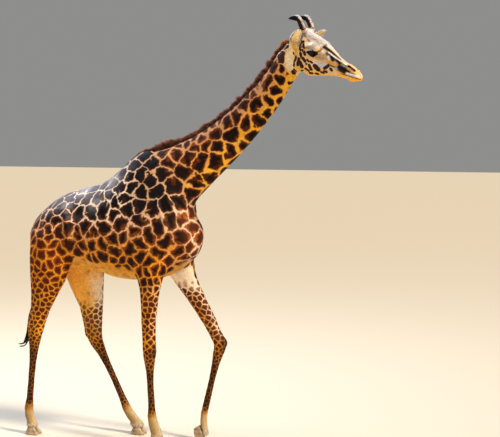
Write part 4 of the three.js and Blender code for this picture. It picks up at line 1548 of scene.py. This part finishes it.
tail, tail_co = refined("tail_skin", ["tail"], TAIL_VOXEL, 3, 0.0015)
down = rise(1.55, 1.15, tail_co[:, 2])[:, None]
tail_tone = linear("#b9803f") + down * (linear("#3a2015") - linear("#b9803f"))
store(tail, "hair", tail_tone, colour=True)
dress(tail, hair_material("short_tail_hair", 0.2), "coat", "tail")
n = TUFT_STRANDS
start = varied(0.0, 0.42, n)
finish = np.minimum(start + varied(0.42, 0.75, n), varied(0.80, 1.0, n))
angle, spread = varied(0, 2 * np.pi, n), np.sqrt(draw.random(n)) * varied(0.6, 1.0, n)
t = np.linspace(0, 1, 8)
share = start[:, None] + (finish - start)[:, None] * t
spines = curve_at(TUFT_LINE, TUFT_SHARES, share)
reach = np.interp(share, TUFT_SHARES, TUFT_REACH) * (0.35 + 0.65 * rise(0, 0.4, t))
reach = reach * spread[:, None]
wave = angle[:, None] + 0.5 * np.sin(3 * t + angle[:, None] * 5)
spines = spines + reach[:, :, None] * np.stack([np.cos(wave), np.sin(wave), 0 * wave], -1)
halves = TUFT_HALVES * varied(0.7, 1.3, n, 1)
shade = linear("#14100f") * varied(0.6, 2.2, n, 1, 1)
last = n
for many, scattered, *wisp in WISPS:
    line = curve_at(mm(*wisp), np.linspace(0, 1, len(wisp)), t)
    sway = draw.normal(0, 1, (many, 1, 3)) * scattered * (0.4 + 0.6 * t[None, :, None])
    spines[last - many : last] = line[None] + sway
    last -= many
outward_way = np.stack([np.cos(angle), np.sin(angle), 0 * angle], 1)
tuft_map = np.stack([angle / (2 * np.pi), start], 1)
whisk = strands("tail_whisk", spines, outward_way, halves, 3, shade, tuft_map)
dress(whisk, hair_material("long_black_tail_hair", 0.15), "tail_hair", "tail_tuft")
print("tail:", len(tail.data.polygons), "faces, whisk", triangles(whisk), "triangles")

# %% [markdown]
# ## The ossicones
# The horns of a giraffe are bone under skin and hair. Their sides are short-haired and dark,
# with a painted grey-white highlight where they face up towards the key light, and a brush of
# longer black hair on top is swept back.

# %% Ossicones
HORN_VOXEL = 0.0030
HORN_STRANDS = 2600
HORN_FORMS = {  # foot and top in the skull's frame, length and droop of the brush, all in mm
    "horn_right": ((48, -50, 180), (-6, -60, 268), 66, 22),
    "horn_left": ((56, 50, 180), (2, 60, 249), 48, 6),
}


def horn_line(at, top, tuft, droop):
    """The middle line of a horn and its brush, in the shared frame."""
    (x, y, z), (tx, ty, tz) = at, top
    return from_skull(mm(
        (x, y, z), (x - 14, y + (ty - y) * 0.3, z + 34), (tx + 16, ty, tz - 26),
        (tx - 6, ty, tz - 3), (tx - tuft / 2, ty, tz - droop * 0.3), (tx - tuft, ty, tz - droop),
    ))


horn_hair = hair_material("horn_hair", 0.12)
for name, form in HORN_FORMS.items():
    line = horn_line(*form)
    core, core_co = refined(name + "_core", [name], HORN_VOXEL, 2, 0.0030)
    core_share = near_line(core_co, line)[1]
    upper = rise(2.2, 3.2, core_share)[:, None]
    normal_at = fetched(core.data.vertices, "normal")
    # Painted highlight: grey-white where the horn faces up and forward, towards the key light.
    horn_painted_light = rise(0.05, 0.62, normal_at @ unit(np.array((0.62, 0.10, 0.78))))[:, None]
    base = linear("#2e1a12") + upper * (linear("#0d0a09") - linear("#2e1a12"))
    front = linear("#d6c3b8") + upper * (linear("#c3c6cc") - linear("#d6c3b8"))
    base = base + horn_painted_light * (front - base)
    store(core, "hair", base, colour=True)
    dress(core, horn_hair, "horn_skin", name)
    n = HORN_STRANDS
    picks = draw.integers(0, len(core_co), n)
    root, up_at, share = core_co[picks], normal_at[picks], core_share[picks]
    upper = upper[picks, 0]
    jitter = draw.normal(0, 0.0012, root.shape)
    long = (0.012 + 0.030 * upper * draw.random(n))[:, None, None]
    here, ahead = (
        curve_at(line, np.linspace(0, 1, 6), np.clip((share + on) / 5, 0, 1)) for on in (0, 0.9)
    )
    t = rows_at(4)
    way = unit(ahead - here + 1e-6)[:, None]
    spines = (root + jitter - up_at * 0.001)[:, None] + way * long * t
    puff = (0.0022 + 0.0060 * upper * draw.random(n))[:, None, None]
    spines = spines + up_at[:, None] * puff * np.sin(t * 2.4)
    halves = (0.0010, 0.0012, 0.0008) * varied(0.7, 1.3, n, 1)
    # The strands of the brush carry the same painted highlight.
    shade = base[picks][:, None] * varied(0.6, 1.5, n, 1, 1)
    head_spot = (0.40, 0.45) + (root - line[0])[:, :2] * 0.15
    hair = strands(name + "_hair", spines, up_at, halves, 2, shade, head_spot)
    dress(hair, horn_hair, "horn_skin")
print("ossicones:", len(core.data.polygons), "faces each,", triangles(hair), "triangles of hair")

# %% [markdown]
# ## The hooves
# Each foot has two claws of dusty horn. The hooves are finer copies of the claws' solids, and their
# growth rings run round them parallel to the ground.

# %% Hooves
HOOF_VOXEL = 0.0045
RING_MM = 5.0
HOOF_TAPER = 0.30
HOOF_LEAN = 0.012
hoof, shader = new_material("grey_hoof_horn")
place = own_place()
wave = {"Scale": 1000 / RING_MM / 20, "Distortion": 1.6, "Detail": 3.0, "Detail Scale": 0.8}
wave = add("ShaderNodeTexWave", {"Vector": place, **wave}, bands_direction="Z")
rings = Wire(wave, "Fac")
stain, scuff = grain(place, 22.0, 6.0), grain(place, 240.0, 4.0)
horn_tone = mixed(grade(stain, 0.35, 0.65), rgba("#7c6448"), rgba("#a98d68"))
horn_tone = mixed(rings * 0.30, horn_tone, rgba("#c9b08c"))
low = grade(Wire(add("ShaderNodeSeparateXYZ", {0: place}), 2), 0.0, 0.022, 0.75, 0.0)
horn_tone = mixed(low * grade(scuff, 0.35, 0.6), horn_tone, rgba("#c0a682"))
feed(shader, {
    "Base Color": horn_tone,
    "Normal": dents(rings + scuff * 0.5, 0.5, 0.0012),
    "Roughness": grade(stain, 0.3, 0.7, 0.42, 0.62),
    "IOR": 1.55,
})
for leg in LEG_LINES:
    claws = [leg + "_claw_inner", leg + "_claw_outer"]
    pair, hoof_co = refined(leg + "_hooves", claws, HOOF_VOXEL, 7)
    top = hoof_co[:, 2].max()
    crown = hoof_co[hoof_co[:, 2] > top - 0.012].mean(axis=0)
    taper = HOOF_TAPER * rise(0.010, top, hoof_co[:, 2])[:, None]
    hoof_co = hoof_co + taper * (crown - hoof_co) * (1, 1, 0)
    ahead = rise(crown[0], hoof_co[:, 0].max(), hoof_co[:, 0])
    hoof_co[:, 0] -= HOOF_LEAN * ahead * rise(0.012, top, hoof_co[:, 2])
    pair.data.vertices.foreach_set("co", hoof_co.ravel())
    dress(pair, hoof, "hoof", *claws)
print("hooves:", len(pair.data.polygons), "faces a foot")

# %% [markdown]
# ## The eyes
# A giraffe's eye is a large dark ball. The pupil is a level slit, hard to tell from the brown
# iris, and the whole ball is wet.

# %% Eyes
IRIS_REACH, PUPIL_HALF, PUPIL_HIGH = 0.0190, 0.0100, 0.0050
EYE_SEGMENTS = 40
EYE_SIDES = np.stack([slit_along, slit_up, gaze])
wet_eye, shader = new_material("wet_dark_eye")
spot = read("eye_place", "Vector")
flat_spot = spot * (1.0, 1.0, 0.0)
slit = (flat_spot / (PUPIL_HALF, PUPIL_HIGH, 1.0)).then("LENGTH")
threads = grain(spot, 420.0, 4.0)
iris = mixed(grade(threads, 0.3, 0.7), rgba("#0f0705"), rgba("#26130a"))
iris = mixed(grade(slit, 0.85, 1.1), rgba("#050404"), iris)
edge = grade(flat_spot.then("LENGTH"), IRIS_REACH - 0.002, IRIS_REACH + 0.002)
feed(shader, {
    "Base Color": mixed(edge, iris, rgba("#140c0a")),
    "Normal": dents(threads, 0.02, 0.0002),
    "Roughness": grade(threads, 0.2, 0.8, 0.10, 0.16),
    "IOR": 1.376,
    "Coat Weight": 0.35,
    "Specular IOR Level": 0.12,
    "Coat Roughness": 0.03,
    "Coat IOR": 1.336,
})
for side, name in ((-1, "eye_right"), (1, "eye_left")):
    bm = bmesh.new()
    bmesh.ops.create_uvsphere(
        bm, u_segments=EYE_SEGMENTS, v_segments=EYE_SEGMENTS // 2, radius=EYE_BALL
    )
    ball_co = np.array([v.co for v in bm.verts])
    seated = (ball_co @ EYE_SIDES + EYE_PLACE) * (1.0, side, 1.0)
    for v, p in zip(bm.verts, from_skull(seated)):
        v.co = p
    if side < 0:
        bmesh.ops.reverse_faces(bm, faces=bm.faces)
    bmesh.ops.recalc_face_normals(bm, faces=bm.faces)
    eyeball = linked(name + "_ball", bm)
    store(eyeball, "eye_place", ball_co)
    eyeball.data.shade_smooth()
    dress(eyeball, wet_eye, "eye", name)
print("eyes:", len(eyeball.data.polygons), "faces each")

# %% [markdown]
# ## Lashes and the hair of the ears
# Her lashes are long and black and stand out from the edge of the upper lid, with shorter ones
# below. White hair fringes both edges of each ear, and shorter, cream hair grows in its hollow.

# %% Lashes
LASHES = 150
lash_hair = hair_material("black_lash_hair", 0.1)
for side, name in ((-1, "lashes_right"), (1, "lashes_left")):
    lower = np.arange(LASHES) >= LASHES * 0.7
    sideways = varied(-0.96, 0.96, LASHES) * SLIT_HALF
    bend = np.clip(1 - (sideways / SLIT_HALF) ** 2, 0, 1)
    up = np.where(lower, -LID_DOWN * bend - 0.001, LID_UP * bend**0.75 + 0.001)
    out = np.sqrt(np.clip(LID_SHELL**2 - sideways**2 - up**2, 1e-5, None))
    long = (np.where(lower, 0.008, 0.019) * varied(0.7, 1.15, LASHES))[:, None]
    fan_out = (sideways / SLIT_HALF * 0.55 + draw.normal(0, 0.10, LASHES))[:, None]
    t = np.linspace(0, 1, 5)[None, :]
    droop = np.where(lower, -0.7, -0.45)[:, None] * t + np.where(lower, 0, 0.85)[:, None] * t**2.5
    spine = (
        sideways[:, None] + long * fan_out * t,
        up[:, None] + long * droop,
        out[:, None] + long * 0.85 * t - 0.001,
    )
    spines = sum(s[:, :, None] * axis for s, axis in zip(spine, EYE_SIDES)) + EYE_PLACE
    spines = from_skull(spines * (1, side, 1))
    ups = from_skull(slit_up) - SKULL_AT
    head_spot = (0.38, 0.40) + np.stack([sideways, up], 1)
    halves = (0.0006, 0.0006, 0.0005, 0.0003)
    lashes = strands(name, spines, ups, halves, 3, linear("#0b0706"), head_spot)
    dress(lashes, lash_hair, "tail_hair")
print("lashes:", LASHES, "an eye")

# %% Hair of the ears
EAR_HAIRS = 5200
n = EAR_HAIRS
on_rim = 3.0 * ear_rim * rise(0.10, 0.3, ear_along)
at_root, faces = scatter(n, on_rim + 0.7 * ear_inside * rise(0.75, 0.30, ear_along))
foot = at_root(co_final)
up_at = unit(at_root(normal))
rim_at = at_root(ear_rim)[:, None]
on_left = to_skull(foot)[:, 1:2] > 0
grow_at, face_at = (
    np.where(on_left, *(from_skull(ear_axes[hand][k]) - SKULL_AT for hand in ("left", "right")))
    for k in (0, 1)
)
way = grow_at * 0.9 + up_at * 0.45 + face_at * 0.25 + draw.normal(0, 0.14, foot.shape)
way = unit(way - up_at * np.minimum((way * up_at).sum(1), 0)[:, None])
long = ((0.008 + 0.007 * rim_at[:, 0]) * varied(0.6, 1.15, n))[:, None, None]
t = rows_at(4)
spines = (foot - up_at * 0.001)[:, None] + way[:, None] * long * t
spines = spines + grow_at[:, None] * (0.3 * long * t**2)
shade = linear("#e9c78a") + rim_at * (linear("#fbf7f2") - linear("#e9c78a"))
shade = shade[:, None] * varied(0.8, 1.1, n, 1, 1)
halves = (0.0008, 0.0009, 0.0006)
ear_hair = strands("ear_hair", spines, up_at, halves, 2, shade, bake_places(faces, foot))
dress(ear_hair, hair_material("soft_white_ear_hair", 0.2), "coat")
print("ear hair:", triangles(ear_hair), "triangles")

# %% Hair over the hooves
CORONET_HAIRS = 4200
n = CORONET_HAIRS
coronet = on_leg * rise(0.104, 0.080, co_final[:, 2]) * rise(0.040, 0.060, co_final[:, 2])
at_root, faces = scatter(n, coronet)
foot = at_root(co_final)
up_at = unit(at_root(normal))
long = varied(0.016, 0.030, n)[:, None, None]
way = unit(np.array((0, 0, -1.0)) + up_at * 0.30 + draw.normal(0, 0.10, foot.shape))
t = rows_at(4)
puff = up_at[:, None] * (0.003 * np.sin(t * 2.2) - 0.001)
spines = foot[:, None] + way[:, None] * long * t + puff
spines[:, :, 2] = np.maximum(spines[:, :, 2], 0.012)
shade = linear("#cdb899") * varied(0.7, 1.15, n, 1, 1)
halves = (0.0011, 0.0013, 0.0009)
fringe = strands("coronet_hair", spines, up_at, halves, 2, shade, bake_places(faces, foot))
dress(fringe, hair_material("pale_coronet_hair", 0.1), "coat")
print("coronet hair:", triangles(fringe), "triangles")

# %% [markdown]
# ## The coat
# The coat itself lies flat, so most of it is the skin's own finish. Thin blades of hair lie over
# the whole skin and break its edge on every side. They point back and down on the trunk, down the
# neck and the legs, and up the face from the nose. Each blade has the colours of the markings under
# its middle, from the same nodes as the skin.

# %% Which way the hair lies
flow = np.tile((-0.75, 0.0, -0.65), (count, 1))
pull(flow, -unit(bone), up_neck[:, None])
leg_way = np.tile((0.0, 0.0, -1.0), (count, 1))
for name, line in LEG_LINES.items():
    mine = leg_name == name
    leg_way[mine] = unit(bone_at(line, leg_share[mine]))
pull(flow, leg_way, (below_belly * rise(1.45, 1.20, co_final[:, 2]))[:, None])
pull(flow, TURN @ np.array((-1.0, 0, 0)), on_head[:, None])
for hand, sign in (("right", -1), ("left", 1)):
    mine = (on_ear > 0.3) & (np.sign(to_skull(co_final)[:, 1]) == sign)
    flow[mine] = TURN @ ear_axes[hand][0]
for _ in range(6):
    flow = unit(middles(flow))
flow = unit(flow - normal * (flow * normal).sum(1)[:, None])

# %% Coat tufts
TUFTS = 60000
TRUNK_LONG, SHANK_LONG, FACE_LONG, FOOT_LONG = 0.0125, 0.0085, 0.0060, 0.0055
hair_long = TRUNK_LONG + (SHANK_LONG - TRUNK_LONG) * below_belly * rise(1.25, 0.9, co_final[:, 2])
pull(hair_long, FACE_LONG, on_head)
pull(hair_long, FOOT_LONG, on_leg * rise(4.3, 4.9, leg_share))
hair_lift = (0.0034 - 0.0022 * on_head) * (1 - 0.5 * on_leg)
bare = (eye_gap > -0.006) & (eye_gap < 0.5)
bare &= np.linalg.norm(upright - EYE_PLACE, axis=1) < 0.045
bare |= (slit_far < 0.012) & of_head
bare |= (mouth_far < 0.006) & of_head & (local[:, 0] > 0.42)
bare |= co_final[:, 2] < 0.035
hairy = (~bare).astype(float) * (1 - 0.8 * ear_inside)
on_trunk = (1 - on_leg) * (1 - up_neck) * (1 - on_head)
right_half = (co_final[:, 1] < MIDDLE_Y).astype(float)
coat_on_tufts = marked_coat("short_giraffe_hair_tufts", True)


def tufts(name, chance, half):
    """A piece of the coat: blades that lie along the flow, with the markings of their middles."""
    at_root, faces = scatter(TUFTS, chance * hairy)
    foot = at_root(co_final)
    up_at = unit(at_root(normal))
    way = at_root(flow)
    way = unit(way + np.cross(up_at, way) * draw.normal(0, 0.16, (TUFTS, 1)))
    long = (at_root(hair_long) * varied(0.75, 1.25, TUFTS))[:, None, None]
    lift = (at_root(hair_lift) * varied(0.6, 1.25, TUFTS))[:, None, None]
    t = rows_at(3)
    spines = foot[:, None] + way[:, None] * long * t + up_at[:, None] * (lift * t**0.8 - 0.0006)
    shade = varied(0.82, 1.20, TUFTS, 1, 1) * (0.90 + 0.22 * t)
    halves = (half * 0.8, half) * varied(0.7, 1.2, TUFTS, 1)
    made = strands(name, spines, up_at, halves, 2, shade, bake_places(faces, foot))
    each = len(made.data.vertices) // TUFTS
    store(made, "skin_place", np.repeat(foot + way * long[:, 0] * 0.5, each, axis=0))
    for key, values, domain in MARKINGS:
        told = values[faces] if domain == "FACE" else at_root(values)
        store(made, key, np.repeat(told, each, axis=0), "POINT", key in tones)
    dress(made, coat_on_tufts, "coat")
    return triangles(made)


laid = [
    tufts("coat_tufts_trunk_right", on_trunk * right_half, 0.0011),
    tufts("coat_tufts_trunk_left", on_trunk * (1 - right_half), 0.0011),
    tufts("coat_tufts_neck", up_neck * (crest_height < 0.006), 0.0010),
    tufts("coat_tufts_legs", on_leg * rise(-0.3, 0.6, leg_share), 0.0008),
    tufts("coat_tufts_head", on_head, 0.00055),
]
print("coat tufts:", laid, "triangles")
